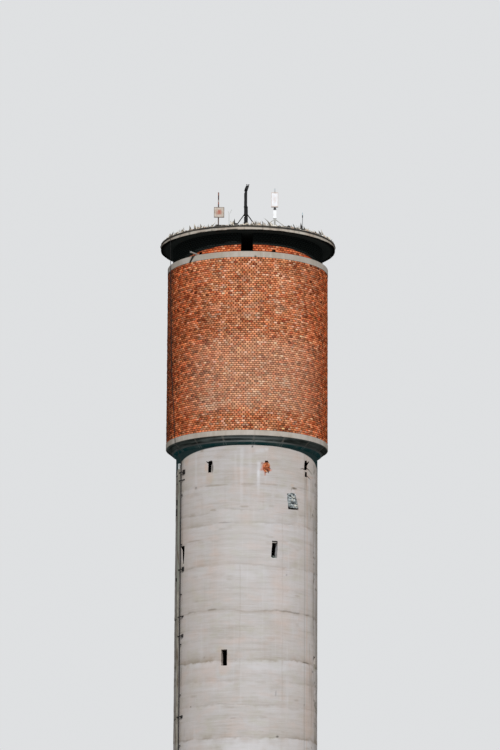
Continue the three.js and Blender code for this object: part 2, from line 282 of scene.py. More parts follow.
def put(name, data):
    """A new object in the scene."""
    thing = bpy.data.objects.new(name, data)
    bpy.context.scene.collection.objects.link(thing)
    return thing


def add_piece(name, mesh, materials, slot, *nodes):
    """A finished piece: it rides on the one body, and stands for the CAD nodes named."""
    # Clearing also sets every face back to the first material, so an empty list isn't cleared.
    if len(mesh.materials):
        mesh.materials.clear()
    for material in materials:
        mesh.materials.append(material)
    piece = put(name, mesh)
    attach(piece, "root")
    if nodes:
        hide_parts(*nodes)


def join_parts(parts):
    """One vertex array and face list from several (verts, faces) pairs."""
    verts, faces, shift = [], [], 0
    for part_verts, part_faces in parts:
        verts.append(part_verts)
        faces += [np.asarray(f) + shift for f in part_faces]
        shift += len(part_verts)
    return np.concatenate(verts), faces


def quads(*corners):
    return np.stack(corners, -1).reshape(-1, 4)


def band_quads(grid, inward=False):
    """Faces between rows of corners, where each row runs round and closes."""
    after = np.roll(grid, -1, axis=1)
    if inward:
        return quads(grid[:-1], grid[1:], after[1:], after[:-1])
    return quads(grid[:-1], after[:-1], after[1:], grid[1:])


def wall_shell(angles, levels, outer, inner_r):
    """A fine outer skin of rows x columns x 3 points, a coarse inner one, and flat faces between them."""
    step = 6
    rows, cols = outer.shape[:2]
    grid = np.arange(rows * cols).reshape(rows, cols)
    keep = np.arange(0, cols, step)
    low_in = rows * cols + np.arange(len(keep))
    top_in = low_in + len(keep)
    verts = np.concatenate([outer.reshape(-1, 3), polar(inner_r, angles[keep], levels[0]),
                            polar(inner_r, angles[keep], levels[-1])])
    faces = [quads(grid[:-1, :-1], grid[:-1, 1:], grid[1:, 1:], grid[1:, :-1]),
             quads(low_in[1:], low_in[:-1], top_in[:-1], top_in[1:])]
    for i, column in enumerate(keep[:-1]):
        below = grid[0, column:column + step + 1][::-1]
        above = grid[-1, column:column + step + 1]
        faces.append(np.array([[*below, low_in[i], low_in[i + 1]]]))
        faces.append(np.array([[*above, top_in[i + 1], top_in[i]]]))
    faces.append(np.array([[*grid[:, 0], top_in[0], low_in[0]]]))
    faces.append(np.array([[*grid[::-1, -1], low_in[-1], top_in[-1]]]))
    return verts, faces


def prism(outline, depth, radius, degrees, level):
    """A closed block with the outline (across, up) that runs depth metres in from a radius."""
    outline = np.asarray(outline, float)
    across, out = polar(1.0, degrees + 90.0, 0.0), polar(1.0, degrees, 0.0)
    flat = outline[:, :1] * across + outline[:, 1:] * np.array([0.0, 0.0, 1.0]) + np.array([0.0, 0.0, level])
    grid = np.arange(2 * len(outline)).reshape(2, -1)
    return (np.concatenate([flat + out * radius, flat + out * (radius - depth)]),
            [grid[:1], grid[1:, ::-1], band_quads(grid, inward=True)])


def rectangle(width, low, high):
    return [(-width / 2, low), (width / 2, low), (width / 2, high), (-width / 2, high)]


def ragged(outline, step, wobble, seed):
    """The outline with points added along its sides and moved a little, for broken edges."""
    draw = np.random.default_rng(seed)
    made = []
    for start, end in zip(outline, [*outline[1:], outline[0]]):
        start, end = np.asarray(start, float), np.asarray(end, float)
        count = max(1, int(np.linalg.norm(end - start) / step))
        for i in range(count):
            made.append(start + (end - start) * i / count + (draw.normal(0.0, wobble, 2) if i else 0.0))
    return made


def tube(route, radius, sides=8):
    """A round tube with closed ends along a route of points that mostly rises."""
    route = np.asarray(route, float)
    angle = np.linspace(0.0, math.tau, sides, endpoint=False)
    ring = np.stack([np.cos(angle), np.sin(angle), np.zeros(sides)], -1) * radius
    grid = np.arange(len(route) * sides).reshape(len(route), sides)
    return (route[:, None, :] + ring[None]).reshape(-1, 3), [band_quads(grid), grid[:1, ::-1], grid[-1:]]


def cut(mesh, cutters):
    """The mesh with the closed cutter blocks taken out of it."""
    tool_mesh = make_mesh("cutter", *join_parts(cutters))
    tool, body = put("cutter", tool_mesh), put("body", mesh)
    modifier = body.modifiers.new("cut", "BOOLEAN")
    modifier.operation = "DIFFERENCE"
    modifier.solver = "MANIFOLD"
    modifier.object = tool
    graph = bpy.context.evaluated_depsgraph_get()
    result = bpy.data.meshes.new_from_object(body.evaluated_get(graph))
    for thing in (tool, body):
        bpy.data.objects.remove(thing)
    bpy.data.meshes.remove(tool_mesh)
    return result


# Materials


def srgb(red, green, blue):
    """A screen colour, 0 to 255, as the linear colour that a shader takes."""
    linear = []
    for channel in (red, green, blue):
        part = channel / 255.0
        linear.append(part / 12.92 if part <= 0.04045 else ((part + 0.055) / 1.055) ** 2.4)
    return (*linear, 1.0)


def linear_tones(tones):
    return np.array([srgb(*tone)[:3] for tone in tones])


class Nodes:
    """A node material: a colour under coats that a noise spreads or that are painted on the mesh."""

    def __init__(self, name):
        self.material = bpy.data.materials.new(name)
        self.material.use_nodes = True
        self.tree = self.material.node_tree
        self.place = self.node("ShaderNodeTexCoord", {}, "Object")

    def fill(self, node, inputs):
        """Links a node's inputs to sockets, or sets them to values."""
        for key, value in inputs.items():
            if hasattr(value, "links"):
                self.tree.links.new(value, node.inputs[key])
            else:
                node.inputs[key].default_value = value

    def node(self, kind, inputs, output=0, **settings):
        """One output of a new node."""
        made = self.tree.nodes.new(kind)
        for key, value in settings.items():
            setattr(made, key, value)
        self.fill(made, inputs)
        return made.outputs[output]

    def math(self, operation, *values):
        return self.node("ShaderNodeMath", dict(enumerate(values)), operation=operation)

    def weighted(self, first, share, second, second_share):
        first, second = self.math("MULTIPLY", first, share), self.math("MULTIPLY", second, second_share)
        return self.math("ADD", first, second)

    def clip(self, value, low, high, out_low=0.0, out_high=1.0):
        inputs = {"Value": value, "From Min": low, "From Max": high, "To Min": out_low, "To Max": out_high}
        return self.node("ShaderNodeMapRange", inputs, "Result", clamp=True)

    def scaled(self, source, x, y, z):
        return self.node("ShaderNodeMapping", {"Vector": source, "Scale": (x, y, z)}, "Vector")

    def axis(self, name):
        """One object coordinate."""
        return self.node("ShaderNodeSeparateXYZ", {0: self.place}, name)

    def noise(self, scale, detail=3.0, vector=None, roughness=0.55):
        inputs = {"Vector": vector or self.place, "Scale": scale, "Detail": detail, "Roughness": roughness}
        return self.node("ShaderNodeTexNoise", inputs, "Fac")

    def streaks(self, across, up, detail=3.0, roughness=0.55):
        """Noise scaled along the round wall and up it, for marks that are drawn out one way."""
        angle = self.math("ARCTAN2", self.axis("X"), self.math("MULTIPLY", self.axis("Y"), -1.0))
        around = {"X": self.math("MULTIPLY", angle, SHAFT_R), "Z": self.axis("Z")}
        vector = self.scaled(self.node("ShaderNodeCombineXYZ", around), across, 1.0, up)
        return self.noise(1.0, detail, vector, roughness)

    def painted(self, name, output="Fac"):
        return self.node("ShaderNodeAttribute", {}, output, attribute_name=name)

    def above_line(self, blur):
        """One above the level painted as "line", and zero below it."""
        return self.clip(self.math("SUBTRACT", self.axis("Z"), self.painted("line")), -blur, blur)

    def mix(self, amount, first, second):
        return self.node("ShaderNodeMix", {"Factor": amount, 6: first, 7: second}, 2, data_type="RGBA")

    def start(self, source, low, high, first, second):
        """The colour under all coats goes from the first tone to the second as the source rises."""
        self.colour = self.mix(self.clip(source, low, high), srgb(*first), srgb(*second))

    def coat(self, source, low, high, most, tone):
        """A coat that comes in as the source goes from low to high, up to the share most."""
        self.stain(self.clip(source, low, high, 0.0, most), tone)

    def stain(self, amount, tone):
        """A coat spread by a value, or by what is painted on the mesh under a name."""
        amount = self.painted(amount) if isinstance(amount, str) else amount
        self.colour = self.mix(amount, self.colour, srgb(*tone))

    def done(self, roughness, height=None, distance=0.0, strength=1.0, metallic=0.0, chalky=False):
        """The finished material, with a bump from the height."""
        inputs = {"Base Color": self.colour, "Roughness": roughness, "Metallic": metallic}
        if height is not None:
            bump = {"Height": height, "Distance": distance, "Strength": strength}
            inputs["Normal"] = self.node("ShaderNodeBump", bump, "Normal")
        if chalky:
            inputs["Specular IOR Level"] = 0.0
        self.fill(self.tree.nodes["Principled BSDF"], inputs)
        return self.material


def shaft_concrete():
    """Board-marked concrete with lift stains, drips and dark marks, painted where the tower has them. It has
    painted shade under the ring beam, inside the wall and at its sides, and painted light towards its sides.
    """
    n = Nodes("shaft_concrete")
    patch, hue, runs = n.noise(1.9, 4.0), n.streaks(1.2, 2.6), n.streaks(6.0, 0.3, 4.0)
    boards, lines, grain = n.streaks(0.6, 8.0, 5.0, 0.7), n.streaks(1.6, 26.0, 3.0, 0.6), n.noise(55.0)
    n.start(n.noise(0.45, 4.0), 0.36, 0.64, (200, 196, 196), (190, 184, 179))
    for source, low, high, most, tone in (
            (patch, 0.45, 0.7, 0.4, (196, 184, 177)), (hue, 0.52, 0.68, 0.5, (205, 187, 178)),
            (hue, 0.48, 0.34, 0.45, (184, 181, 165)), (boards, 0.5, 0.72, 0.5, (162, 153, 141)),
            (boards, 0.47, 0.3, 0.4, (214, 212, 213)), (lines, 0.54, 0.72, 0.3, (164, 155, 145)),
            (runs, 0.56, 0.74, 0.22, (170, 160, 150)), (runs, 0.42, 0.28, 0.22, (216, 214, 214)),
            (grain, 0.3, 0.7, 0.2, (154, 148, 142))):
        n.coat(source, low, high, most, tone)
    # The first of these coats is painted light, lighter towards the wall's sides. The moss coat also holds
    # painted shade at the sides, and the dark coat holds painted shade in deep reveals.
    for name, tone in (("painted_side_light", (228, 213, 202)), ("pale", (222, 222, 226)), ("warm", (206, 172, 150)),
                       ("brown", (140, 126, 106)), ("moss_and_side_shade", (104, 103, 88)), ("dust", (206, 108, 66)),
                       ("dark_and_shade", (50, 42, 36))):
        n.stain(name, tone)
    # Painted shadow of the ring beam, teal, on the wall above the painted line.
    n.stain(n.math("MULTIPLY", n.above_line(0.012), 0.94), (36, 72, 74))
    # Painted shade on the wall's inner face, above the door's height.
    out = n.math("ADD", n.math("POWER", n.axis("X"), 2.0), n.math("POWER", n.axis("Y"), 2.0))
    inside = n.clip(n.math("SQRT", out), SHAFT_R - 0.19, SHAFT_R - 0.245, 0.0, 0.9)
    n.stain(n.math("MULTIPLY", inside, n.clip(n.axis("Z"), 2.5, 2.8)), (20, 18, 16))
    rough = n.clip(grain, 0.2, 0.8, 0.88, 0.98)
    return n.done(rough, n.weighted(boards, 0.6, grain, 0.35), 0.006, 0.7, chalky=True)


def ring_concrete():
    n = Nodes("ring_concrete")
    wide, runs, grain = n.noise(1.2, 4.0), n.streaks(9.0, 0.8, 4.0), n.noise(70.0)
    n.start(wide, 0.38, 0.62, (197, 189, 180), (178, 168, 155))
    n.coat(runs, 0.52, 0.76, 0.35, (138, 130, 118))
    n.coat(runs, 0.44, 0.3, 0.4, (214, 210, 204))
    n.coat(grain, 0.35, 0.7, 0.3, (140, 132, 122))
    face = n.colour
    # The underside's colour is dark, as painted shade under the ring beam. It is mixed in by the painted
    # underside mask.
    n.start(n.streaks(0.9, 16.0, 4.0, 0.65), 0.4, 0.6, (42, 52, 51), (126, 137, 133))
    n.coat(wide, 0.5, 0.66, 0.7, (35, 42, 39))
    n.colour = n.mix(n.painted("soffit_shade"), face, n.colour)
    # Teal painted shade on the corbel above its shadow line. Painted highlights on its edges, beside the ribs
    # and on its lit foot. Dark marks, with painted shade on the underside at the sides and the spout's painted
    # shadow on the cover ring.
    n.stain("painted_shade_teal", (34, 76, 78))
    n.stain("painted_highlight", (184, 189, 190))
    n.stain("dark_and_shade", (36, 39, 35))
    return n.done(n.clip(grain, 0.2, 0.8, 0.86, 0.97), grain, 0.004, 0.6, chalky=True)


def roof_concrete():
    n = Nodes("roof_concrete")
    grain = n.noise(60.0)
    n.start(n.noise(1.6, 4.0), 0.38, 0.62, (203, 196, 184), (186, 172, 158))
    n.coat(n.streaks(6.0, 1.5, 5.0), 0.52, 0.66, 0.6, (104, 95, 80))
    n.coat(grain, 0.35, 0.7, 0.3, (140, 130, 118))
    # Painted shade under the roof. Dark marks, with painted shade along the fascia's edge at the sides.
    n.stain("soffit_shade", (42, 48, 47))
    n.stain("dark_and_shade", (15, 14, 12))
    return n.done(n.clip(grain, 0.2, 0.8, 0.86, 0.97), grain, 0.005, 0.6, chalky=True)


def footing_concrete():
    n = Nodes("footing_concrete")
    grain = n.noise(70.0)
    n.start(n.noise(1.3, 4.0), 0.36, 0.64, (168, 162, 154), (136, 130, 120))
    n.coat(grain, 0.4, 0.7, 0.4, (104, 99, 92))
    return n.done(n.clip(grain, 0.2, 0.8, 0.86, 0.97), grain, 0.005, 0.7)


def brick_clay():
    n = Nodes("brick_clay")
    speck, fine = n.noise(48.0, 4.0), n.noise(190.0)
    n.colour = n.painted("brick", "Color")
    n.coat(speck, 0.54, 0.76, 0.35, (120, 66, 42))
    n.coat(speck, 0.44, 0.28, 0.35, (232, 178, 142))
    n.stain("lime", (216, 186, 160))
    # Soot with painted shade on the drum's left side. The roof's painted shadow on the attic wall above the
    # painted line.
    n.stain(n.math("MAXIMUM", n.painted("soot_and_shade"), n.above_line(0.015)), (34, 38, 37))
    rough = n.clip(fine, 0.2, 0.8, 0.85, 0.97)
    return n.done(rough, n.weighted(speck, 0.7, fine, 0.3), 0.004, 0.8, chalky=True)


def mortar_bed():
    n = Nodes("mortar_bed")
    grain = n.noise(120.0)
    n.start(n.noise(1.4, 4.0), 0.4, 0.62, (70, 39, 25), (54, 29, 19))
    n.coat(grain, 0.4, 0.7, 0.4, (46, 28, 20))
    n.stain("lime", (176, 142, 116))
    # The same soot, painted shade and painted shadow as on the bricks.
    n.stain(n.math("MAXIMUM", n.painted("soot_and_shade"), n.above_line(0.015)), (34, 38, 37))
    return n.done(0.95, grain, 0.004, 0.8, chalky=True)


def loose_stone(name, scale, dirt, chips):
    """Stones in painted tones with dirt and fresh chips, each as (low, high, most, tone)."""
    n = Nodes(name)
    speck = n.noise(scale, 4.0)
    n.colour = n.painted("stone", "Color")
    n.coat(speck, *dirt)
    n.coat(speck, *chips)
    return n.done(0.95, speck, 0.006, 0.8)


def roofing_felt():
    n = Nodes("roofing_felt")
    wide, grain = n.noise(1.8, 4.0), n.noise(140.0)
    n.start(wide, 0.4, 0.66, (38, 38, 40), (84, 78, 70))
    n.coat(grain, 0.45, 0.7, 0.5, (120, 112, 102))
    return n.done(n.clip(wide, 0.3, 0.7, 0.78, 0.95), grain, 0.003, 0.7)


def worn_metal(name, base, worn, rust, rust_share, roughness, metallic, bands=()):
    """Painted or zinc-coated steel with dull patches and rust that gathers in places.
    Bands are stretches of another colour: from a level, up to a level, colour."""
    n = Nodes(name)
    wide, grain = n.noise(3.2, 4.0), n.noise(160.0)
    n.start(wide, 0.38, 0.64, base, worn)
    height = n.weighted(n.axis("Z"), 1.0, n.noise(30.0), 0.02)
    for low, high, tone in bands:
        n.stain(n.math("MULTIPLY", n.clip(height, low, low + 0.01), n.clip(height, high, high - 0.01)), tone)
    edge = 0.62 - 0.3 * rust_share
    n.coat(n.noise(1.0, 4.0, n.scaled(n.place, 16.0, 16.0, 1.6)), edge, edge + 0.14, 0.9, rust)
    n.coat(grain, 0.55, 0.8, 0.35, rust)
    rough = n.clip(wide, 0.3, 0.7, roughness - 0.08, roughness + 0.12)
    return n.done(rough, grain, 0.0015, 0.6, metallic)


def aerial_cover(name, centre, half, base, dirt, rim, rust, rust_amount):
    """A flat aerial's cover: centre and half size are across and up. The rim is darker, the middle rusty."""
    n = Nodes(name)
    grain, shaken = n.noise(200.0, 2.0), n.math("SUBTRACT", n.noise(22.0, 4.0), 0.5)
    across, up = (n.math("DIVIDE", n.math("ABSOLUTE", n.math("SUBTRACT", n.axis(axis), middle)), size)
                  for axis, middle, size in zip("XZ", centre, half))
    square = n.math("ADD", n.math("POWER", across, 2.0), n.math("POWER", up, 2.0))
    n.start(n.noise(4.5, 4.0), 0.4, 0.66, base, dirt)
    n.coat(n.weighted(n.math("SQRT", square), 1.0, shaken, 1.1), 0.62, 0.2, rust_amount, rust)
    n.coat(n.noise(1.0, 4.0, n.scaled(n.place, 24.0, 24.0, 2.2)), 0.56, 0.72, 0.45 * rust_amount, rust)
    n.coat(n.weighted(n.math("MAXIMUM", across, up), 1.0, shaken, 0.25), 0.84, 0.93, 0.85, rim)
    return n.done(n.clip(grain, 0.3, 0.7, 0.42, 0.6), grain, 0.0008, 0.5)


def stage_floor():
    n = Nodes("stage_floor")
    n.start(n.noise(0.05), 0.3, 0.7, (226, 226, 224), (220, 220, 219))
    return n.done(0.9)


SHAFT_CONCRETE = shaft_concrete()
RING_CONCRETE = ring_concrete()
ROOF_CONCRETE_LOOK = roof_concrete()
FOOTING = footing_concrete()
BRICK = brick_clay()
MORTAR = mortar_bed()
RUBBLE = loose_stone("rubble_stone", 60.0, (0.45, 0.7, 0.5, (88, 86, 84)), (0.42, 0.28, 0.4, (224, 224, 222)))
BROKEN_BRICK = loose_stone("broken_brick", 55.0, (0.48, 0.72, 0.6, (120, 52, 32)),
                           (0.42, 0.26, 0.5, (236, 158, 112)))
FELT = roofing_felt()
DARK_STEEL = worn_metal("dark_steel", (22, 23, 25), (36, 34, 33), (62, 48, 40), 0.2, 0.65, 0.3)
MAST_STEEL = worn_metal("mast_steel", (12, 13, 16), (22, 21, 22), (44, 34, 28), 0.1, 0.7, 0.2)
RUSTY_STEEL = worn_metal("rusty_steel", (112, 84, 66), (88, 66, 54), (128, 74, 44), 0.6, 0.8, 0.3)
ZINC = worn_metal("zinc", (204, 205, 202), (172, 172, 166), (140, 116, 94), 0.15, 0.6, 0.2)
PIPE_ZINC = worn_metal("pipe_zinc", (146, 143, 132), (116, 112, 101), (92, 80, 66), 0.35, 0.8, 0.1,
                       [(21.4, 25.55, (124, 126, 116)), (25.95, 26.2, (186, 192, 192))])
ROD = worn_metal("aerial_rod", (96, 78, 66), (70, 60, 54), (110, 76, 56), 0.3, 0.6, 0.2,
                 [(35.46, 35.59, (40, 44, 52)), (35.59, 35.67, (196, 120, 108)),
                  (35.67, 35.76, (226, 228, 230)), (35.76, 35.93, (34, 36, 46)),
                  (35.93, 36.04, (150, 96, 84))])
BOX_POST = worn_metal("box_post", (214, 217, 220), (190, 190, 186), (150, 120, 100), 0.1, 0.55, 0.1,
                      [(35.05, 35.375, (240, 242, 244)), (35.375, 35.465, (34, 36, 40)),
                       (36.02, 36.07, (90, 84, 80)), (36.13, 36.2, (206, 216, 222))])
WHIP = worn_metal("whip_rod", (46, 54, 60), (34, 38, 44), (70, 60, 52), 0.1, 0.6, 0.2,
                  [(35.29, 35.4, (196, 216, 222))])
WHITE_COVER = aerial_cover("white_cover", (0.977, 35.75), (0.128, 0.278), (240, 242, 246), (224, 220, 220),
                           (196, 176, 164), (206, 178, 166), 0.35)
GREY_COVER = aerial_cover("grey_cover", (-1.07, 35.27), (0.19, 0.1975), (198, 189, 177), (172, 156, 138),
                          (88, 66, 54), (168, 80, 50), 0.9)


# Shaft


def shadow_level(turn, edge_r, edge_level, wall_r, slope):
    """The level on a round wall above which an overhanging edge casts its shadow from the sun, alike at the
    back, for painted shadow.
    """
    angle = np.radians(np.minimum(off(turn, SUN_AZIMUTH), 90.0))
    return edge_level - slope * (np.sqrt(edge_r ** 2 - (wall_r * np.sin(angle)) ** 2) - wall_r * np.cos(angle))


# Pour joints of the shaft: level, how strong the stain above it is, how far it waves, how rough it is.
LIFTS = [
    (25.11, 0.3, 0.04, 0.3), (24.15, 0.3, 0.09, 0.3), (23.71, 0.5, 0.06, 0.3), (23.1, 0.15, 0.04, 0.15),
    (22.14, 0.45, 0.07, 0.3), (21.3, 0.12, 0.03, 0.12), (20.46, 0.4, 0.085, 1.0), (19.9, 0.15, 0.04, 0.15),
    (19.48, 0.15, 0.03, 0.12), (18.7, 0.95, 0.05, 0.15), (17.96, 0.5, 0.03, 0.12), (17.07, 0.35, 0.05, 0.3),
    (16.6, 0.12, 0.03, 0.1), (15.93, 0.9, 0.04, 0.45), (14.3, 0.5, 0.05, 0.35), (12.7, 0.7, 0.05, 0.5),
    (11.05, 0.35, 0.05, 0.3), (9.4, 0.8, 0.05, 0.6), (7.75, 0.4, 0.04, 0.3), (6.1, 0.8, 0.05, 0.4),
    (4.45, 0.4, 0.04, 0.5), (2.8, 0.7, 0.05, 0.4), (1.3, 0.5, 0.04, 0.4),
]


def lift_wave(degrees, index):
    """How far a pour joint strays from its level, from -1 to 1 or so."""
    wall = polar(SHAFT_R, degrees, 0.0)
    seed = 100 + 7 * index
    return layered_noise(wall, 0.55, seed, 2) + 0.34 * layered_noise(wall, 3.4, seed + 1, 2)


def lift_damage(degrees, index):
    """Where along a pour joint the concrete is broken."""
    return ramp(layered_noise(polar(SHAFT_R, degrees, 0.0), 2.4, 300 + 5 * index), -0.4, 0.7)


def shaft_rows(low, high, spacing):
    """Levels of the skin's rows: evenly spaced, and close together at each pour joint."""
    rows = set(np.round(np.linspace(low, high, int((high - low) / spacing) + 1), 4))
    for level, *_ in LIFTS:
        for shift in (-0.045, -0.018, 0.0, 0.012, 0.04):
            if low + 0.06 < level + shift < high - 0.06:
                rows.add(round(level + shift, 4))
    rows = sorted(rows)
    kept = [rows[0]]
    for row in rows[1:]:
        if row - kept[-1] > 0.009:
            kept.append(row)
    kept[-1] = high
    return np.array(kept)


def shaft_skin(angles, levels):
    """Outer points of the shaft, with waving pour joints, a lip above each and a shallow groove."""
    turn, level = np.meshgrid(angles, levels)
    moved = level.copy()
    swell = np.zeros_like(level)
    inside = ramp(level, levels[0], levels[0] + 0.25) * ramp(level, levels[-1], levels[-1] - 0.25)
    for index, (joint, _, wave, rough) in enumerate(LIFTS):
        if not levels[0] - 0.5 <= joint <= levels[-1] + 0.5:
            continue
        over = level - joint
        moved += inside * wave * lift_wave(turn[:1], index) * bell(over, 0.22)
        broken = lift_damage(turn[:1], index)
        lip = (0.0015 + 0.009 * rough * broken) * np.exp(-np.maximum(over, 0.0) / 0.3)
        swell += lip * ramp(over, -0.03, 0.02)
        swell -= 0.01 * rough * broken * bell(over + 0.004, 0.02)
    place = polar(SHAFT_R, turn, moved)
    swell += 0.0045 * layered_noise(place, (0.7, 0.7, 0.55), 11)
    swell += 0.0018 * layered_noise(place, (1.2, 1.2, 7.0), 23, 2)
    return polar(SHAFT_R - 0.004 + swell * inside, turn, moved)


def paint_shaft(mesh):
    """Stains, drips, dark marks and repairs, by plan angle and level. Also painted shade and light: the ring
    beam's shadow line, shade in deep reveals and at the sides, lighter sides and a lit slit jamb.
    """
    points, turn, radius, level = measured(mesh)
    wall = polar(SHAFT_R, turn, 0.0)
    rough = layered_noise(points, 3.1, 41, 4)
    blotch = layered_noise(points, (5.5, 5.5, 9.0), 43)
    coats = dict.fromkeys(("dark_and_shade", "brown", "pale", "warm", "moss_and_side_shade", "dust"), np.zeros(len(points)))

    def deepen(name, values):
        coats[name] = np.maximum(coats[name], values)

    deepen("warm", 0.22 * ramp(layered_noise(points, (0.8, 0.8, 0.6), 53), 0.2, 1.1))
    for index, (joint, stain, wave, honeycomb) in enumerate(LIFTS):
        if not level.min() - 1.0 < joint < level.max() + 1.0:
            continue
        over = level - joint - wave * lift_wave(turn, index)
        soft = ramp(layered_noise(wall, 1.1, 500 + 9 * index), -0.7, 0.7)
        sides = 0.45 + 0.35 * ramp(off(turn, 12.0), 8.0, 48.0)
        shaken = over + 0.05 * blotch * np.clip(1.2 - honeycomb, 0.2, 1.0)
        above = ramp(shaken, -0.05, 0.03) * np.exp(-np.maximum(shaken, 0.0) / 0.2)
        deepen("brown", 1.15 * stain * sides * (0.3 + 0.35 * soft + 0.35 * rough) * above)
        below = ramp(shaken, 0.02, -0.09) * np.exp(np.minimum(shaken, 0.0) / 0.6)
        deepen("pale", 0.42 * stain * below * ramp(rough, -1.1, 0.6))
        line = bell(shaken + 0.004, 0.026 + 0.018 * honeycomb)
        holes = lift_damage(turn, index)
        broken = ramp(blotch, -0.5 - 0.9 * honeycomb, 0.7 - 0.8 * honeycomb)
        deepen("brown", (0.1 + 0.45 * honeycomb) * line * (0.5 + 0.5 * holes) * broken)
        pits = bell(over - 0.02, 0.035) * ramp(blotch, 0.4, 0.95)
        deepen("dark_and_shade", honeycomb ** 2 * holes * (0.06 * line * broken + 0.25 * pits))
    for name, runs in RUNS.items():
        for *run, amount in runs:
            deepen(name, amount * drip(turn, level, rough, *run))
    for name, spots in SPOTS.items():
        for *spot, amount in spots:
            deepen(name, amount * blot(turn, level, rough, *spot))
    deepen("warm", 0.35 * ramp(off(turn, 57.6), 1.1, 0.4))
    deepen("pale", 0.22 * ramp(layered_noise(points, (6.0, 6.0, 0.35), 47), 0.6, 1.2))
    deepen("brown", 0.36 * ramp(layered_noise(points, (1.6, 1.6, 9.0), 57), 0.7, 1.4))
    # Moss near the wall's sides is partly painted shade, stronger on the left. Side falls off fast behind the
    # sides, so the back gets none of it.
    side = np.where(np.abs(turn) > 90.0, 90.0 - 1.6 * (np.abs(turn) - 90.0), np.abs(turn))
    streaky = layered_noise(points, (4.2, 4.2, 1.3), 59, 4)
    green = np.where(turn < 0.0, 0.46, 0.3)
    deepen("moss_and_side_shade", green * ramp(side + 10.0 * streaky, 62.0, 84.0) * ramp(streaky, -1.2, 0.5))
    deepen("moss_and_side_shade", 0.62 * ramp(blotch + 0.5 * rough, 0.35, 0.9) * ramp(side, 64.0, 74.0))
    deepen("moss_and_side_shade", 0.2 * ramp(off(turn, 54.2), 1.2, 0.4))
    deepen("moss_and_side_shade", 0.7 * ramp(level + 0.25 * rough, 1.5, 0.2))
    middle = ramp(side, 34.0, 14.0)
    deepen("pale", 0.2 * middle * ramp(level + 0.3 * rough, 19.6, 22.2) * ramp(level, 24.6, 24.0))
    deepen("brown", 0.09 * middle * ramp(level + 0.2 * rough, 24.0, 24.6))
    # Painted shade in deep reveals.
    deepen("dark_and_shade", np.where(SHAFT_R - radius > 0.1, 0.1, 0.0))
    # Painted light: the front slit's reveal, mostly its right jamb, is painted pale, as if lit.
    slit = (off(turn, 24.0) < 4.0) & (level > TOP_ROW + 0.06) & (level < TOP_ROW + 0.56)
    deepen("pale", slit & (SHAFT_R - radius > 0.01))
    # Painted light: lighter towards the wall's sides, a little less on the right.
    coats["painted_side_light"] = 0.3 * ramp(side, 18.0, 66.0) * np.where(turn > 0.0, 0.92, 1.0)
    # The ring beam's painted shadow line, above which shaft_concrete paints shade.
    paint(mesh, "line", shadow_level(turn, RING_R, RING_BEAM_BOTTOM, SHAFT_R, RING_SLOPE) - 0.006 * rough)
    paint_layers(mesh, coats)


def drip(turn, level, rough, degrees, top, bottom, width):
    """A vertical run: sharp at its top, fading out downwards, with a slightly ragged side."""
    across = np.radians(angle_gap(turn, degrees)) * SHAFT_R + 0.012 * rough
    body = np.exp(-(across / (width / 2)) ** 4)
    return body * ramp(level, top + 0.05, top - 0.05) * ramp(level, bottom, bottom + 0.65 * (top - bottom))


def blot(turn, level, rough, degrees, centre, width, height):
    across = np.radians(angle_gap(turn, degrees)) * SHAFT_R / (width / 2)
    up = (level - centre) / (height / 2)
    return ramp(1.3 - np.hypot(across, up) + 0.4 * rough, 0.0, 0.8)


# Runs: plan angle, top, bottom, width, amount. Spots: plan angle, level, width, height, amount.
PALE_RUNS = [
    (9.5, 25.95, 24.3, 0.12, 0.5), (9.4, 25.65, 25.2, 0.1, 0.9), (-4.0, 26.45, 22.9, 0.13, 0.28),
    (-1.2, 24.0, 21.5, 0.12, 0.18), (2.6, 26.5, 24.5, 0.12, 0.15), (-9.0, 26.3, 24.4, 0.1, 0.12),
    (21.0, 22.4, 21.6, 0.5, 0.2), (-16.0, 18.6, 17.0, 0.3, 0.2), (-45.0, 26.4, 24.0, 0.12, 0.2),
    (61.0, 25.6, 22.5, 0.1, 0.3), (74.0, 24.0, 16.5, 0.1, 0.35), (130.0, 26.5, 23.5, 0.14, 0.4),
    (170.0, 26.5, 24.5, 0.12, 0.45), (214.0, 26.5, 22.5, 0.16, 0.4), (262.0, 26.4, 24.0, 0.12, 0.35),
    (-4.0, 18.6, 16.0, 0.12, 0.2), (30.0, 21.8, 18.9, 0.08, 0.25),
]
DARK_RUNS = [
    (14.8, 25.62, 25.42, 0.04, 0.6), (56.4, 25.58, 25.1, 0.06, 0.3), (102.0, 25.6, 24.9, 0.12, 0.4),
    (150.5, 25.6, 24.8, 0.12, 0.35), (196.0, 25.6, 25.0, 0.12, 0.4), (237.0, 25.6, 24.7, 0.12, 0.4),
]
BROWN_RUNS = [
    (30.1, 24.0, 15.0, 0.035, 0.22), (-4.9, 22.4, 15.4, 0.035, 0.2), (62.0, 19.5, 16.3, 0.05, 0.3),
    (65.5, 18.6, 15.2, 0.05, 0.3), (69.5, 24.5, 15.0, 0.09, 0.35), (78.0, 26.0, 14.0, 0.12, 0.45),
    (-74.0, 26.0, 14.0, 0.2, 0.45), (56.0, 25.5, 24.0, 0.12, 0.25), (41.0, 24.25, 23.6, 0.4, 0.2),
]
WARM_SPOTS = [
    (-34.4, 25.8, 0.14, 0.3, 0.4), (-32.0, 25.4, 0.3, 0.4, 0.22), (-17.3, 18.7, 0.55, 0.95, 0.22),
    (-18.0, 18.3, 0.3, 0.35, 0.25), (-58.0, 26.15, 0.5, 0.3, 0.35), (150.5, 25.5, 0.4, 0.6, 0.35),
    (237.0, 25.5, 0.4, 0.6, 0.35), (39.5, 25.17, 0.25, 0.16, 0.3), (63.0, 25.65, 0.6, 0.1, 0.3),
    (-43.0, 22.3, 0.6, 0.3, 0.2), (-58.0, 23.15, 0.8, 0.06, 0.4),
]
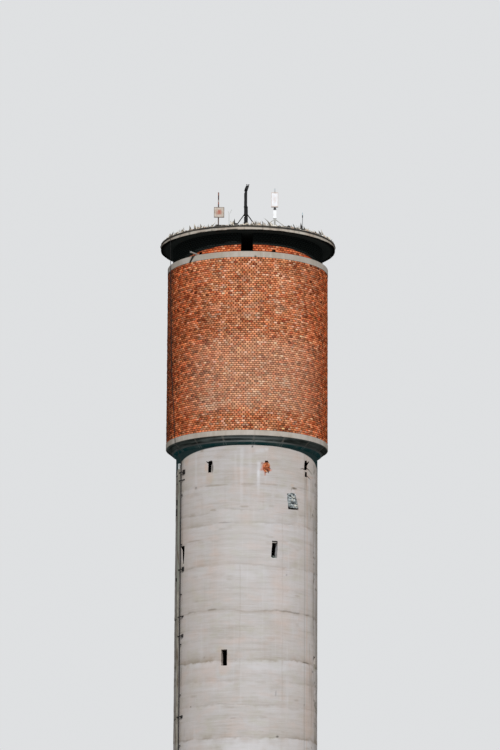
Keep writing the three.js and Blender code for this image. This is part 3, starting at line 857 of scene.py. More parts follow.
BROWN_SPOTS = [
    (-47.0, 23.14, 0.9, 0.05, 0.5), (-24.7, 25.1, 0.95, 0.07, 0.45), (0.5, 25.1, 0.62, 0.09, 0.35),
    (17.0, 25.12, 0.5, 0.05, 0.35),
    (22.0, 25.12, 0.4, 0.06, 0.3), (41.4, 25.1, 0.34, 0.07, 0.9), (38.6, 25.0, 0.05, 0.09, 0.7),
    (-48.0, 24.84, 0.85, 0.06, 0.3), (-50.0, 24.08, 0.5, 0.05, 0.4), (-29.0, 24.19, 0.6, 0.05, 0.6),
    (-16.0, 24.24, 0.5, 0.05, 0.3), (-44.0, 23.66, 0.8, 0.05, 0.35), (-38.0, 26.42, 0.24, 0.045, 0.9),
    (60.0, 24.3, 0.5, 0.9, 0.25), (-1.5, 24.28, 0.36, 0.06, 0.5),
]
DARK_SPOTS = [
    (41.4, 25.09, 0.3, 0.05, 0.55), (42.6, 24.98, 0.035, 0.12, 0.4),
    (-45.0, 25.1, 0.13, 0.1, 0.45), (-18.0, 23.71, 0.62, 0.035, 0.3), (4.4, 26.5, 0.07, 0.07, 0.8),
    (67.8, 24.26, 0.07, 0.09, 0.85), (22.9, 23.045, 0.24, 0.035, 0.95), (12.2, 25.64, 0.1, 0.03, 0.7),
    (19.6, 25.62, 0.09, 0.03, 0.7), (12.2, 25.9, 0.06, 0.03, 0.5), (13.8, 25.8, 0.03, 0.05, 0.6),
    (-2.0, 16.85, 0.4, 0.025, 0.4), (-9.5, 16.6, 0.22, 0.025, 0.4), (34.0, 21.85, 0.07, 0.07, 0.35),
    (-49.0, 17.1, 0.08, 0.07, 0.55), (54.0, 17.2, 0.05, 0.06, 0.5), (-74.5, 24.75, 0.1, 0.25, 0.8),
    (-75.0, 24.4, 0.08, 0.25, 0.8), (77.0, 25.5, 0.1, 0.2, 0.6), (77.1, 24.57, 0.07, 0.07, 0.6),
    (81.0, 24.3, 0.12, 0.16, 0.6), (81.0, 23.7, 0.12, 0.12, 0.6), (69.7, 22.9, 0.08, 0.06, 0.6),
    (69.5, 22.7, 0.07, 0.06, 0.7), (70.0, 22.45, 0.07, 0.06, 0.6), (71.0, 22.1, 0.08, 0.12, 0.8),
    (70.0, 21.8, 0.06, 0.12, 0.7), (70.5, 20.45, 0.08, 0.08, 0.7), (71.0, 20.15, 0.07, 0.12, 0.6),
    (50.0, 18.9, 0.5, 0.03, 0.5), (56.0, 18.75, 0.45, 0.03, 0.5), (68.0, 18.5, 0.2, 0.08, 0.5),
    (26.0, 15.97, 0.14, 0.08, 0.7), (24.5, 17.55, 0.06, 0.25, 0.25), (-35.0, 18.85, 0.08, 0.05, 0.3),
    (66.0, 15.7, 0.06, 0.06, 0.7), (-28.5, 25.77, 0.07, 0.28, 0.7),
]
PALE_SPOTS = [
    (40.2, 25.0, 0.28, 0.2, 0.25), (10.0, 26.36, 0.4, 0.2, 0.35), (16.0, 26.42, 0.14, 0.09, 0.5),
    (25.0, 21.2, 1.4, 1.2, 0.2), (10.0, 17.8, 1.8, 1.0, 0.2), (-6.0, 23.0, 1.4, 1.0, 0.2),
    (5.0, 15.55, 2.4, 0.5, 0.4), (20.0, 18.45, 2.2, 0.3, 0.35), (-1.0, 21.8, 1.5, 0.4, 0.3),
    (22.0, 22.46, 0.2, 0.06, 0.8),
]
DUST_SPOTS = [
    (15.4, 25.74, 0.3, 0.3, 0.9), (12.2, 25.66, 0.14, 0.06, 0.6), (18.9, 25.64, 0.16, 0.08, 0.7),
    (12.0, 25.88, 0.1, 0.05, 0.5), (14.8, 25.5, 0.09, 0.16, 0.5),
]
RUNS = {"pale": PALE_RUNS, "dark_and_shade": DARK_RUNS, "brown": BROWN_RUNS}
SPOTS = {"warm": WARM_SPOTS, "brown": BROWN_SPOTS, "dark_and_shade": DARK_SPOTS, "pale": PALE_SPOTS,
         "dust": DUST_SPOTS}


# Broken edges: metres across and up from each opening's sill
LEFT_SLIT = [(-0.02, -0.05), (0.06, -0.05), (0.09, 0.15), (0.115, 0.35), (0.122, 0.61), (-0.19, 0.63),
             (-0.17, 0.57), (-0.08, 0.48), (-0.055, 0.36), (-0.045, 0.15)]
FRONT_SLIT = [(-0.105, 0.03), (-0.07, -0.01), (0.13, 0.0), (0.145, 0.25), (0.16, 0.57), (-0.06, 0.575),
              (-0.086, 0.28), (-0.096, 0.12)]
LEFT_VENT = [(-0.14, 0.0), (-0.004, -0.006), (0.0, 0.2), (0.006, 0.27), (0.046, 0.3), (0.05, 0.38),
             (0.03, 0.43), (-0.03, 0.445), (-0.06, 0.42), (-0.1, 0.43), (-0.14, 0.39), (-0.205, 0.44),
             (-0.222, 0.41), (-0.16, 0.355), (-0.13, 0.33), (-0.138, 0.16)]
FRONT_VENT = [(-0.05, -0.06), (0.03, -0.03), (0.1, 0.0), (0.15, 0.1), (0.11, 0.17), (0.135, 0.25), (0.08, 0.33),
              (0.045, 0.4), (-0.055, 0.4), (-0.075, 0.31), (-0.14, 0.27), (-0.12, 0.16), (-0.145, 0.08),
              (-0.09, 0.0)]
RIGHT_VENT_TOP = [(-0.12, 0.25), (0.06, 0.26), (0.084, 0.4), (0.1, 0.46), (0.2, 0.54), (0.26, 0.63),
                  (0.15, 0.6), (0.08, 0.55), (0.06, 0.62), (-0.08, 0.6), (-0.11, 0.48), (-0.12, 0.35)]
RIGHT_VENT_FOOT = [(-0.08, 0.0), (0.06, -0.02), (0.08, 0.1), (0.075, 0.19), (-0.075, 0.185)]
HATCH = [(-0.23, 0.03), (0.28, 0.05), (0.235, 0.25), (0.16, 0.48), (0.07, 0.64), (-0.1, 0.65), (-0.285, 0.6),
         (-0.262, 0.3)]
RIGHT_CRACKS = [
    [(-0.08, 0.27), (-0.22, 0.28), (-0.34, 0.245), (-0.52, 0.3)],
    [(0.06, 0.33), (0.22, 0.29), (0.4, 0.2), (0.62, 0.14)],
    [(0.02, 0.58), (0.05, 0.68), (0.03, 0.76)],
    [(0.05, 0.05), (0.2, 0.0), (0.36, -0.06)],
]


def shaft_cutters(low, high, from_deg, to_deg):
    """The blocks that cut the openings of one wall panel, in three rounds that may overlap each other.
    The first cuts straight openings, the second widens damaged ones inside, and the third cuts cracks."""
    straight, widened, cracks = [], [], []
    seed = int(low * 10 + from_deg) + 900

    def here(degrees, bottom):
        return (degrees - from_deg) % 360.0 < to_deg - from_deg and low < bottom < high

    def opening(outline, degrees, bottom):
        if here(degrees, bottom):
            straight.append(prism(outline, CUT_DEPTH, CUT_START, degrees, bottom))

    def broken_opening(outline, degrees, bottom, left, right):
        if here(degrees, bottom):
            straight.append(prism(outline, 0.38 + LIP, CUT_START, degrees, bottom))
            (x0, z0), (x1, z1) = np.min(outline, 0), np.max(outline, 0)
            widened.append(curved_room(x0 - left, x1 + right, z0 - 0.03, z1 + 0.03, degrees, bottom))

    for bottom, turns in LIGHT_ROWS:
        for degrees in turns:
            if (bottom, degrees) == (TOP_ROW, LEFT_SLIT_ANGLE):
                broken_opening(ragged(LEFT_SLIT, 0.08, 0.004, 75), degrees, bottom, 0.4, 0.05)
                continue
            front = (bottom, degrees) == (TOP_ROW, FRONT_SLIT_ANGLE)
            slit = FRONT_SLIT if front else rectangle(LIGHT_W, 0.0, LIGHT_H)
            opening(ragged(slit, 0.07, 0.0035, seed + int(degrees)), degrees, bottom)
    for degrees in SOUND_VENTS:
        opening(ragged(rectangle(VENT_W, 0.0, VENT_H), 0.06, 0.005, seed + 11), degrees, VENT_BOTTOM)
    broken_opening(ragged(LEFT_VENT, 0.05, 0.006, 71), LEFT_VENT_ANGLE, VENT_BOTTOM, 0.14, 0.04)
    broken_opening(ragged(RIGHT_VENT_TOP, 0.05, 0.004, 72), RIGHT_VENT_ANGLE, VENT_BOTTOM, 0.02, 0.38)
    broken_opening(ragged(RIGHT_VENT_FOOT, 0.05, 0.004, 76), RIGHT_VENT_ANGLE, VENT_BOTTOM, 0.02, 0.38)
    if here(RIGHT_VENT_ANGLE, VENT_BOTTOM):
        cracks += [prism(crack_outline(crack, 0.042), 0.41, CUT_START, RIGHT_VENT_ANGLE, VENT_BOTTOM)
                   for crack in RIGHT_CRACKS]
    opening(ragged(FRONT_VENT, 0.05, 0.008, 73), FRONT_VENT_ANGLE, VENT_BOTTOM)
    opening(ragged(HATCH, 0.06, 0.005, 74), HATCH_ANGLE, HATCH_BOTTOM)
    if here(0.0, FLOOR_LEVEL + 0.01):
        door = rectangle(DOOR_W, -0.2, DOOR_HEAD - FLOOR_LEVEL)
        straight.append(prism(door, 0.9, CUT_START, 0.0, FLOOR_LEVEL))
    return [blocks for blocks in (straight, widened, cracks) if blocks]


def curved_room(left, right, low, high, degrees, bottom):
    """A closed block behind the wall's face, which follows its curve at the depth of the lip."""
    turn = degrees + np.degrees(np.linspace(left, right, 13) / SHAFT_R)
    grid = np.arange(4 * len(turn)).reshape(4, -1)
    rings = [polar(SHAFT_R - depth, turn, bottom + level)
             for depth, level in ((LIP, low), (LIP, high), (0.6, high), (0.6, low))]
    return np.concatenate(rings), [band_quads(grid.T, inward=True), grid[None, :, 0], grid[None, ::-1, -1]]


def crack_outline(route, width):
    """A thin closed outline along a crack, pointed at its far end."""
    upper, lower = [], []
    for i, (x, z) in enumerate(route):
        half = width / 2 * (1.0 - i / len(route))
        upper.append((x, z + half))
        lower.append((x, z - half))
    return lower + upper[::-1] if route[-1][0] > route[0][0] else upper + lower[::-1]


def build_shaft_tier(label, low, high, start, count, spacing):
    levels = shaft_rows(low, high, spacing)
    for i in range(count):
        from_deg = start + 360.0 / count * i
        to_deg = from_deg + 360.0 / count
        shown = label == "shaft_upper" and off((from_deg + to_deg) / 2, 0.0) < 92.0
        angles = np.linspace(from_deg, to_deg, (72 if shown else 36) + 1)
        name = f"{label}_skin_{i + 1}"
        mesh = make_mesh(name, *wall_shell(angles, levels, shaft_skin(angles, levels), SHAFT_R - WALL))
        for blocks in shaft_cutters(low, high, from_deg, to_deg):
            mesh = cut(mesh, blocks)
        set_smooth(mesh, 32.0)
        paint_shaft(mesh)
        add_piece(name, mesh, [SHAFT_CONCRETE], "concrete", f"{label}_{i + 1}")


# Brickwork


# Clay colours of the bricks, with the share of each
DRUM_CLAY = {(217, 140, 98): 36, (225, 156, 116): 28, (208, 123, 82): 20, (233, 178, 146): 11,
             (190, 103, 66): 6, (158, 83, 57): 2}
ATTIC_CLAY = {(212, 110, 66): 36, (220, 126, 82): 28, (194, 94, 56): 22, (222, 150, 112): 9, (154, 72, 46): 5}


def brick_blocks(centres, courses, face_r, lengths, heights, draw):
    """Bricks as bevelled blocks: plan angle of the middle, level of the foot, face radius of each."""
    shape = (len(centres), 4)
    tilt = draw.normal(0.0, 0.0016, shape)
    corner_u, corner_v = np.array([-1.0, 1.0, 1.0, -1.0]), np.array([0.0, 0.0, 1.0, 1.0])
    rings = []
    for inset, back in ((BEVEL, 0.0), (0.0, BEVEL), (0.0, 0.034)):
        across = corner_u * (lengths[:, None] / 2 - inset) + draw.normal(0.0, 0.0012, shape)
        up = courses[:, None] + corner_v * (heights[:, None] - 2 * inset) + inset
        turn = centres[:, None] + np.degrees(across / face_r[:, None])
        rings.append(polar(face_r[:, None] - back + tilt, turn, up + draw.normal(0.0, 0.001, shape)))
    one = np.arange(12).reshape(3, 4)
    pattern = np.concatenate([one[:1], band_quads(one, inward=True)])
    faces = (np.arange(len(centres))[:, None, None] * 12 + pattern).reshape(-1, 4)
    return np.stack(rings, 1).reshape(-1, 3), faces


def brick_tones(count, draw, clay):
    """A colour for each brick, drawn from the clay colours, with a small spread of its own."""
    shares = np.array(list(clay.values()))
    picked = linear_tones(clay)[draw.choice(len(clay), count, p=shares / sum(shares))]
    return picked * np.clip(draw.normal(1.0, 0.2, (count, 1)), 0.42, 1.6) * draw.normal(1.0, 0.03, (count, 3))


def brick_places(low, course_height, courses, step, from_deg, to_deg, free_ends):
    """Middle angle, foot and width share of every brick. Courses are offset by half a brick."""
    places = []
    for course in range(courses):
        offset = step / 2 if course % 2 else 0.0
        first = math.ceil((from_deg - offset) / step - 1e-6)
        last = math.ceil((to_deg - offset) / step - 1e-6) - 1
        left = (np.arange(first - 1, last + 2) - 0.5) * step + offset
        right = left + step
        if free_ends[0]:
            left = np.maximum(left, from_deg)
        else:
            left, right = left[1:], right[1:]
        if free_ends[1]:
            right = np.minimum(right, to_deg)
        else:
            left, right = left[:-1], right[:-1]
        keep = right - left > 0.3 * step
        left, right = left[keep], right[keep]
        feet = np.full(len(left), low + course * course_height)
        places.append(np.stack([(left + right) / 2, feet, (right - left) / step]))
    return np.concatenate(places, axis=1)


def wall_weather(place, turn, draw, upper):
    """How much lime lies at each point, how much soot and painted shade on the drum's left side, and how far
    round the side of the wall it is.
    """
    level = place[:, 2]
    rough = layered_noise(place, (2.2, 2.2, 3.0), 67)
    fine = draw.normal(0.0, 0.28, len(place))
    side = folded(angle_gap(turn, 6.0))
    if upper:
        return 0.4 * ramp(rough + fine, 0.6, 1.6), np.zeros(len(place)), side
    high = 0.6 * ramp(np.abs(level - 32.0), 1.4, 0.6) * ramp(off(turn, 2.0), 34.0, 16.0)
    low = 0.5 * ramp(np.abs(level - 28.5), 0.9, 0.4) * ramp(off(turn, 0.0), 60.0, 20.0)
    lime = 0.8 * (high + low) * ramp(rough + fine, 0.1, 1.5) + 0.3 * ramp(rough + fine, 0.95, 1.9)
    lime += 0.26 * ramp(level + 0.15 * rough, 30.9, 30.0) * ramp(level, 27.6, 28.1) * ramp(side, 70.0, 20.0)
    # Painted shade: the drum darker round its left side.
    left = ramp(angle_gap(turn, -66.0) + 5.0 * rough, 8.0, -10.0) * ramp(angle_gap(turn, -90.0), -45.0, -12.0)
    return lime, 0.5 * ramp(rough - fine, 1.0, 1.9) + 0.52 * left, side


def mortar_shell(radius, low, high, from_deg, to_deg, skip):
    """The wall behind the bricks, set back by the depth of a joint, with its drains cut out."""
    angles = np.linspace(from_deg, to_deg, 37)
    levels = np.linspace(low, high, max(6, int((high - low) / 0.12)))
    face = polar(radius - JOINT_DEPTH, *np.meshgrid(angles, levels))
    verts, faces = wall_shell(angles, levels, face, radius - WALL)
    if skip:
        blocks = [prism(rectangle(width, 0.0, top - bottom), CUT_DEPTH, radius + 0.3, degrees, bottom)
                  for degrees, width, bottom, top in skip]
        shell = cut(make_mesh("bed", verts, faces), blocks)
        verts, faces = corners_of(shell), [np.array([p.vertices[:]]) for p in shell.polygons]
        bpy.data.meshes.remove(shell)
    return verts, faces


def brick_wall(name, node, radius, low, high, from_deg, to_deg, clay, seed, free_ends=(0, 0), skip=()):
    """A curved panel of header bond on a mortar bed, and the wall's own inner face behind it."""
    draw = np.random.default_rng(seed)
    upper = radius == ATTIC_R
    courses = int(round((high - low) / COURSE))
    course_height = (high - low) / courses
    step = 360.0 / round(math.tau * radius / BRICK_PITCH)
    turns, feet, widths = brick_places(low, course_height, courses, step, from_deg, to_deg, free_ends)
    keep = np.ones(len(turns), bool)
    for degrees, width, bottom, top in skip:
        beside = np.radians(off(turns, degrees)) * radius < width / 2
        keep &= ~(beside & (feet + course_height > bottom) & (feet < top))
    turns, feet, widths = turns[keep], feet[keep], widths[keep]
    count = len(turns)
    lengths = np.radians(step) * radius * widths - PERPEND + draw.normal(0.0, 0.003, count)
    heights = course_height - BED_JOINT + draw.normal(0.0, 0.0015, count)
    face = radius - 0.002 + draw.normal(0.0, 0.0026, count)
    face -= np.where(draw.random(count) < 0.03, draw.uniform(0.006, 0.02, count), 0.0)
    verts, bricks = brick_blocks(turns, feet + BED_JOINT / 2, face, lengths, heights, draw)
    place = polar(radius, turns, feet + course_height / 2)
    tone = brick_tones(count, draw, clay)
    tone *= (1.0 + 0.1 * np.clip(layered_noise(place, 0.8, 61), -1.0, 1.0))[:, None]
    lime, soot_and_shade, side = wall_weather(place, turns, draw, upper)
    # Painted shade: bricks darker and redder towards the wall's sides, front and back alike.
    tone *= 1.0 - ramp(side, 10.0, 72.0)[:, None] * np.array([0.31, 0.56, 0.68])
    tone *= np.clip(1.0 + 0.3 * ramp(side, 15.0, 55.0) * draw.normal(0.0, 1.0, count), 0.4, 1.8)[:, None]
    if not upper:
        spread = ramp(place[:, 2], 27.8, 27.3) * draw.choice([-0.2, 0.0, 0.22], count)
        tone *= 1.0 + spread[:, None]
    bed_verts, bed_faces = mortar_shell(radius, low, high, from_deg, to_deg, skip)
    mesh = make_mesh(name, np.concatenate([verts, bed_verts]), [bricks, *[f + len(verts) for f in bed_faces]],
                     np.repeat([0, 1], [len(bricks), sum(len(f) for f in bed_faces)]))
    bed_lime, bed_soot_and_shade, _ = wall_weather(bed_verts, plan_angle(bed_verts), draw, upper)
    bed_tone = np.full((len(bed_verts), 3), 0.3)
    paint_colour(mesh, "brick", np.concatenate([np.repeat(np.clip(tone, 0.0, 1.0), 12, 0), bed_tone]))
    paint(mesh, "lime", np.concatenate([np.repeat(lime, 12), bed_lime]))
    paint(mesh, "soot_and_shade", np.concatenate([np.repeat(soot_and_shade, 12), bed_soot_and_shade]))
    # The roof's painted shadow line on the attic wall. The drum's line lies over its top, so it gets none.
    points, turn, _, _ = measured(mesh)
    line = shadow_level(turn, FELT_R, ROOF_BOTTOM, ATTIC_R, ROOF_SLOPE)
    line += 0.01 * layered_noise(points, 5.0, 69, 2)
    paint(mesh, "line", line if upper else np.full(len(points), ROOF_TOP))
    add_piece(name, mesh, [BRICK, MORTAR], "brick", node)


def build_brickwork():
    width = 360.0 / DRUM_COUNT
    for i in range(DRUM_COUNT):
        start = DRUM_START + width * i
        brick_wall(f"drum_bricks_{i + 1}", f"tank_wall_{i + 1}", DRUM_R, RING_TOP, DRUM_TOP, start,
                   start + width, DRUM_CLAY, 200 + i)
    turns = [ATTIC_GAP[1], 90.0, 180.0, 270.0, 360.0 + ATTIC_GAP[0]]
    drains = {0: [(20.4, 0.19, COVER_TOP + 0.03, COVER_TOP + 0.09)],
              3: [(SPOUT_ANGLE, 0.15, COVER_TOP + 0.02, COVER_TOP + 0.15)]}
    for i in range(4):
        brick_wall(f"attic_bricks_{i + 1}", f"attic_wall_{i + 1}", ATTIC_R, COVER_TOP, ROOF_BOTTOM, turns[i],
                   turns[i + 1], ATTIC_CLAY, 300 + i, (i == 0, i == 3), drains.get(i, ()))


# Rings and roof, turned from a half section


def turned(name, profile, columns, weather, sharp=35.0, cutters=()):
    """A closed body of turning, with its section's points from the axis back to the axis."""
    angles = np.linspace(0.0, 360.0, columns, endpoint=False)
    radius, level = np.array(profile).T
    turn, r = np.meshgrid(angles, radius[1:-1])
    r, z = weather(turn, r, np.meshgrid(angles, level[1:-1])[1])
    verts = np.concatenate([polar(r, turn, z).reshape(-1, 3), [[0, 0, level[0]], [0, 0, level[-1]]]])
    grid = np.arange(r.size).reshape(r.shape)
    after = np.roll(grid, -1, axis=1)
    bottom = np.stack([np.full(columns, r.size), after[0], grid[0]], -1)
    top = np.stack([np.full(columns, r.size + 1), grid[-1], after[-1]], -1)
    mesh = make_mesh(name, verts, [band_quads(grid), bottom, top])
    if cutters:
        mesh = cut(mesh, cutters)
    set_smooth(mesh, sharp)
    return mesh


def between(start, end, count):
    """Points on a straight stretch of a section, without its last one."""
    return [(start[0] + (end[0] - start[0]) * i / count, start[1] + (end[1] - start[1]) * i / count)
            for i in range(count)]


def chipped(place, scale, seed, low, high, layers=3):
    """How far an edge is chipped, from zero to one."""
    return ramp(layered_noise(place, scale, seed, layers), low, high)


def rib_gap(turn):
    """Distance in degrees to the nearest rib under the ring beam."""
    return np.abs((turn - RIB_FIRST + RIB_STEP / 2) % RIB_STEP - RIB_STEP / 2)


def build_ring_beam():
    """The ribbed corbel under the tank and the plain face over it, with painted shade under it and painted
    highlights on its edges.
    """
    wall_top, toe = (SHAFT_R + 0.005, SHAFT_TOP), (SHAFT_R + 0.005, CORBEL_FOOT)
    kink, beam, top = (CORBEL_KINK_R, CORBEL_KINK), (RING_R, RING_BEAM_BOTTOM), (RING_R, RING_TOP)
    profile = [(0.0, SHAFT_TOP), *between((SHAFT_R - WALL, SHAFT_TOP), wall_top, 2), *between(wall_top, toe, 6),
               *between(toe, kink, 8), *between(kink, beam, 10), *between(beam, top, 6), top,
               (DRUM_R - WALL, RING_TOP), (0.0, RING_TOP)]

    def weather(turn, r, z):
        place = polar(RING_R, turn, z)
        band = (z > RING_BEAM_BOTTOM - 0.001) & (r > RING_R - 0.01)
        worn = 0.012 * chipped(place, 2.3, 81, 0.55, 1.2) * near(z, RING_BEAM_BOTTOM, 0.02)
        r = r - np.where(band, 0.003 + worn + 0.002 * layered_noise(place, 3.0, 83, 2), 0.0)
        outer = (z > CORBEL_KINK + 0.004) & (z < RING_BEAM_BOTTOM - 0.004)
        return r - np.where(outer & (rib_gap(turn) > RIB_HALF), 0.016, 0.0), z

    mesh = turned("ring_beam", profile, 720, weather)
    points, turn, r, z = measured(mesh)
    rough = layered_noise(points, 4.0, 85)
    ribless = rib_gap(turn) > RIB_HALF
    under = (z > CORBEL_KINK + 0.008) & (z < RING_BEAM_BOTTOM - 0.003)
    shadow = shadow_level(turn, RING_R, RING_BEAM_BOTTOM, SHAFT_R, RING_SLOPE)
    # Above the painted shadow line the corbel is in painted shade. The foot below the line is painted as lit.
    at_foot = z <= CORBEL_FOOT + 0.004
    in_painted_shadow = ~at_foot | (z > shadow - 0.004)
    inner = (z < CORBEL_KINK - 0.024) & in_painted_shadow & (r > SHAFT_R - 0.05)
    edge = (z >= CORBEL_KINK - 0.024) & (z <= CORBEL_KINK + 0.008)
    # Painted highlights: on the kink's edge, beside the ribs, on the foot below the shadow line, and a pale
    # line across the panels in front.
    painted_highlight = np.where(edge, 0.4 + 0.2 * rough, 0.0)
    painted_highlight = np.where(inner & ribless & (rib_gap(turn) < 1.3), 0.25, painted_highlight)
    painted_highlight = np.where(at_foot & ~in_painted_shadow, 1.0, painted_highlight)
    painted_highlight = np.maximum(painted_highlight, under * 0.5 * bell(z - UNDER_HIGHLIGHT, 0.014) * ramp(np.abs(turn), 34.0, 14.0))
    rim = 0.8 * ramp(rough, 0.5, 1.3) * near(z, RING_BEAM_BOTTOM, 0.03)
    # Painted shade: the underside and the kink's edge darker towards the sides, front and back alike.
    sides = 0.66 * ramp(folded(turn) + 6.0 * rough, 12.0, 50.0)
    # The underside is in painted shade, less on the ribs. The corbel's inner slope is in teal painted shade.
    paint_layers(mesh, {
        "soffit_shade": np.select([inner, edge, under & ribless, under], [0.7, 0.9, 0.97, 0.6 + 0.2 * rough], 0.0),
        "painted_shade_teal": np.where(inner, 0.92 + 0.2 * rough, 0.0),
        "painted_highlight": painted_highlight,
        "dark_and_shade": np.maximum(rim, np.where(under | edge, sides, 0.0)),
    })
    add_piece("ring_beam", mesh, [RING_CONCRETE], "ring_concrete", "tank_floor")


def build_cover_ring():
    """The concrete ring over the drum, with its square manhole."""
    bottom, top = (RING_R, DRUM_TOP), (RING_R, COVER_TOP)
    profile = [(0.0, DRUM_TOP), (DRUM_R - WALL, DRUM_TOP), *between(bottom, top, 8), top,
               (RING_R - 0.06, COVER_TOP), (ATTIC_R - WALL, COVER_TOP), (0.0, COVER_TOP)]

    def weather(turn, r, z):
        place = polar(RING_R, turn, z)
        edges = near(z, DRUM_TOP, 0.02) + near(z, COVER_TOP, 0.02)
        worn = 0.016 * chipped(place, 2.6, 91, 0.5, 1.2) * edges + 0.002 * layered_noise(place, 3.0, 93, 2)
        return r - np.where(r > RING_R - 0.01, 0.003 + worn, 0.0), z

    manhole = prism(rectangle(0.8, -0.4, 0.4), 0.8, 0.4, 0.0, DRUM_TOP)
    mesh = turned("cover_ring", profile, 960, weather, cutters=[manhole])
    points, turn, _, z = measured(mesh)
    foot_line = 0.9 * ramp(layered_noise(points, 4.0, 95), 0.45, 1.2) * near(z, DRUM_TOP, 0.03)
    mark = bell(angle_gap(turn, 5.3), 0.8) * ramp(z, DRUM_TOP + 0.09, DRUM_TOP)
    # The spout's painted shadow: a dark run that slants down the ring's face.
    slant = 3.0 * (COVER_TOP - z) / (COVER_TOP - DRUM_TOP)
    run = np.exp(-(angle_gap(turn, -42.3 - slant) / 1.1) ** 4)
    none = np.zeros(len(z))
    paint_layers(mesh, {"soffit_shade": none, "painted_shade_teal": none, "painted_highlight": none,
                        "dark_and_shade": np.maximum(foot_line, np.maximum(mark, run))})
    add_piece("cover_ring", mesh, [RING_CONCRETE], "ring_concrete", "tank_cover")


def build_roof():
    rim, edge_low, edge_top = (ROOF_R - 0.05, ROOF_BOTTOM), (ROOF_R, ROOF_BOTTOM), (ROOF_R, ROOF_CONCRETE)
    underside = [*between((1.2, ROOF_BOTTOM), rim, 14), rim, edge_low]
    profile = [(0.0, ROOF_BOTTOM), *underside, *between(edge_low, edge_top, 12)[1:], edge_top,
               (2.2, ROOF_CONCRETE), (0.0, ROOF_CONCRETE)]

    def weather(turn, r, z):
        place = polar(ROOF_R, turn, z)
        chips = chipped(place, 2.2, 97, 0.35, 1.1, 4)
        worn = 0.03 * chips * near(z, ROOF_BOTTOM, 0.03) + 0.003 * layered_noise(place, 5.0, 98, 2)
        r = r - np.where(r > ROOF_R - 0.01, 0.004 + worn, 0.0)
        return r, z + 0.022 * chips * bell(r - ROOF_R, 0.08) * (z < ROOF_BOTTOM + 0.03)

    columns = 480
    mesh = turned("roof_plate", profile, columns, weather)
    points, turn, r, z = measured(mesh)
    rough = layered_noise(points, 3.0, 99)
    broad = layered_noise(points, (1.6, 1.6, 0.5), 103)
    # Painted shade on the roof's underside.
    soffit_shade = np.where(np.arange(len(points)) < columns * len(underside), 0.98, 0.0)
    soffit_shade[-2] = 0.98
    # The fascia is dark along its lower edge, in a band that widens towards the sides as painted shade. There
    # are also dark blotches and a dark band under the felt.
    edge = 0.008 + 0.045 * ramp(folded(turn) + 8.0 * broad, 58.0, 84.0) + 0.016 * rough
    dark_and_shade = 0.97 * ramp(z - ROOF_BOTTOM, edge + 0.01, edge - 0.01)
    dark_and_shade = np.maximum(dark_and_shade, 0.75 * ramp(broad + 0.4 * rough, 0.7, 1.2)) * (r > ROOF_R - 0.06)
    dark_and_shade = np.maximum(dark_and_shade, 0.85 * ramp(z + 0.012 * rough, ROOF_CONCRETE - 0.045, ROOF_CONCRETE - 0.02))
    paint_layers(mesh, {"soffit_shade": soffit_shade, "dark_and_shade": dark_and_shade})
    add_piece("roof_plate", mesh, [ROOF_CONCRETE_LOOK], "ring_concrete", "roof_slab")


def build_felt():
    """Roofing felt with an uneven turned-down edge and shallow ripples."""
    profile = [(0.0, ROOF_CONCRETE), (2.6, ROOF_CONCRETE), (FELT_R - 0.02, ROOF_CONCRETE),
               (FELT_R - 0.004, ROOF_CONCRETE + 0.012), (FELT_R - 0.004, ROOF_TOP - 0.016),
               (FELT_R - 0.02, ROOF_TOP - 0.004), *between((FELT_R - 0.06, ROOF_TOP), (1.6, ROOF_TOP), 12),
               (1.6, ROOF_TOP), (0.0, ROOF_TOP)]

    def weather(turn, r, z):
        place = polar(1.0, turn, 0.0) * r[..., None]
        pulled = np.abs(layered_noise(place, 3.0, 111)) * 0.016 * ramp(r, FELT_R - 0.3, FELT_R)
        ripples = 0.006 * (layered_noise(place, 1.6, 113) - 1.0)
        return r - pulled, z + np.where(z > ROOF_TOP - 0.02, ripples, 0.0)

    add_piece("felt_cover", turned("felt_cover", profile, 360, weather, 40.0), [FELT], "felt", "roof_felt")


# Stones and crumbled screed


def lump_mesh(name, places, sizes, draw, facing=None, square=0.22, shake=0.11):
    """Many small irregular stones in one mesh: a cube of 26 points, pushed out and shaken.
    With facing, each lies flat in a wall that faces that plan angle. Otherwise each is turned anyhow."""
    side = (-1.0, 0.0, 1.0)
    grid = np.array([(x, y, z) for x in side for y in side for z in side if (x, y, z) != (0, 0, 0)])
    index = {tuple(p): i for i, p in enumerate(grid)}
    faces = []
    for axis, end, a, b in itertools.product(range(3), (-1.0, 1.0), (-1.0, 0.0), (-1.0, 0.0)):
        corners = []
        for da, db in ((0, 0), (1, 0), (1, 1), (0, 1)):
            corners.append(index[tuple(np.roll((end, a + da, b + db), axis))])
        faces.append(corners if end > 0 else corners[::-1])
    ball = grid / np.linalg.norm(grid, axis=1)[:, None] * (0.72 - square) + grid * square
    count = len(places)
    shape = ball[None] * (1.0 + draw.normal(0.0, shake, (count, len(ball), 1))) * np.asarray(sizes)[:, None, :]
    turn = draw.uniform(0.0, math.tau, count) if facing is None else np.radians(np.asarray(facing))
    cos, sin = np.cos(turn)[:, None], np.sin(turn)[:, None]
    x = shape[..., 0] * cos - shape[..., 1] * sin
    y = shape[..., 0] * sin + shape[..., 1] * cos
    verts = np.stack([x, y, shape[..., 2]], -1) + np.asarray(places)[:, None, :]
    faces = (np.arange(count)[:, None, None] * len(ball) + np.array(faces)[None]).reshape(-1, 4)
    return make_mesh(name, verts.reshape(-1, 3), [faces])


def paint_stones(mesh, tones, count, draw):
    """One of the tones for each stone, with a small spread."""
    picked = linear_tones(tones)[draw.integers(0, len(tones), count)] * draw.normal(1.0, 0.12, (count, 1))
    paint_colour(mesh, "stone", np.repeat(np.clip(picked, 0.0, 1.0), len(mesh.vertices) // count, 0))


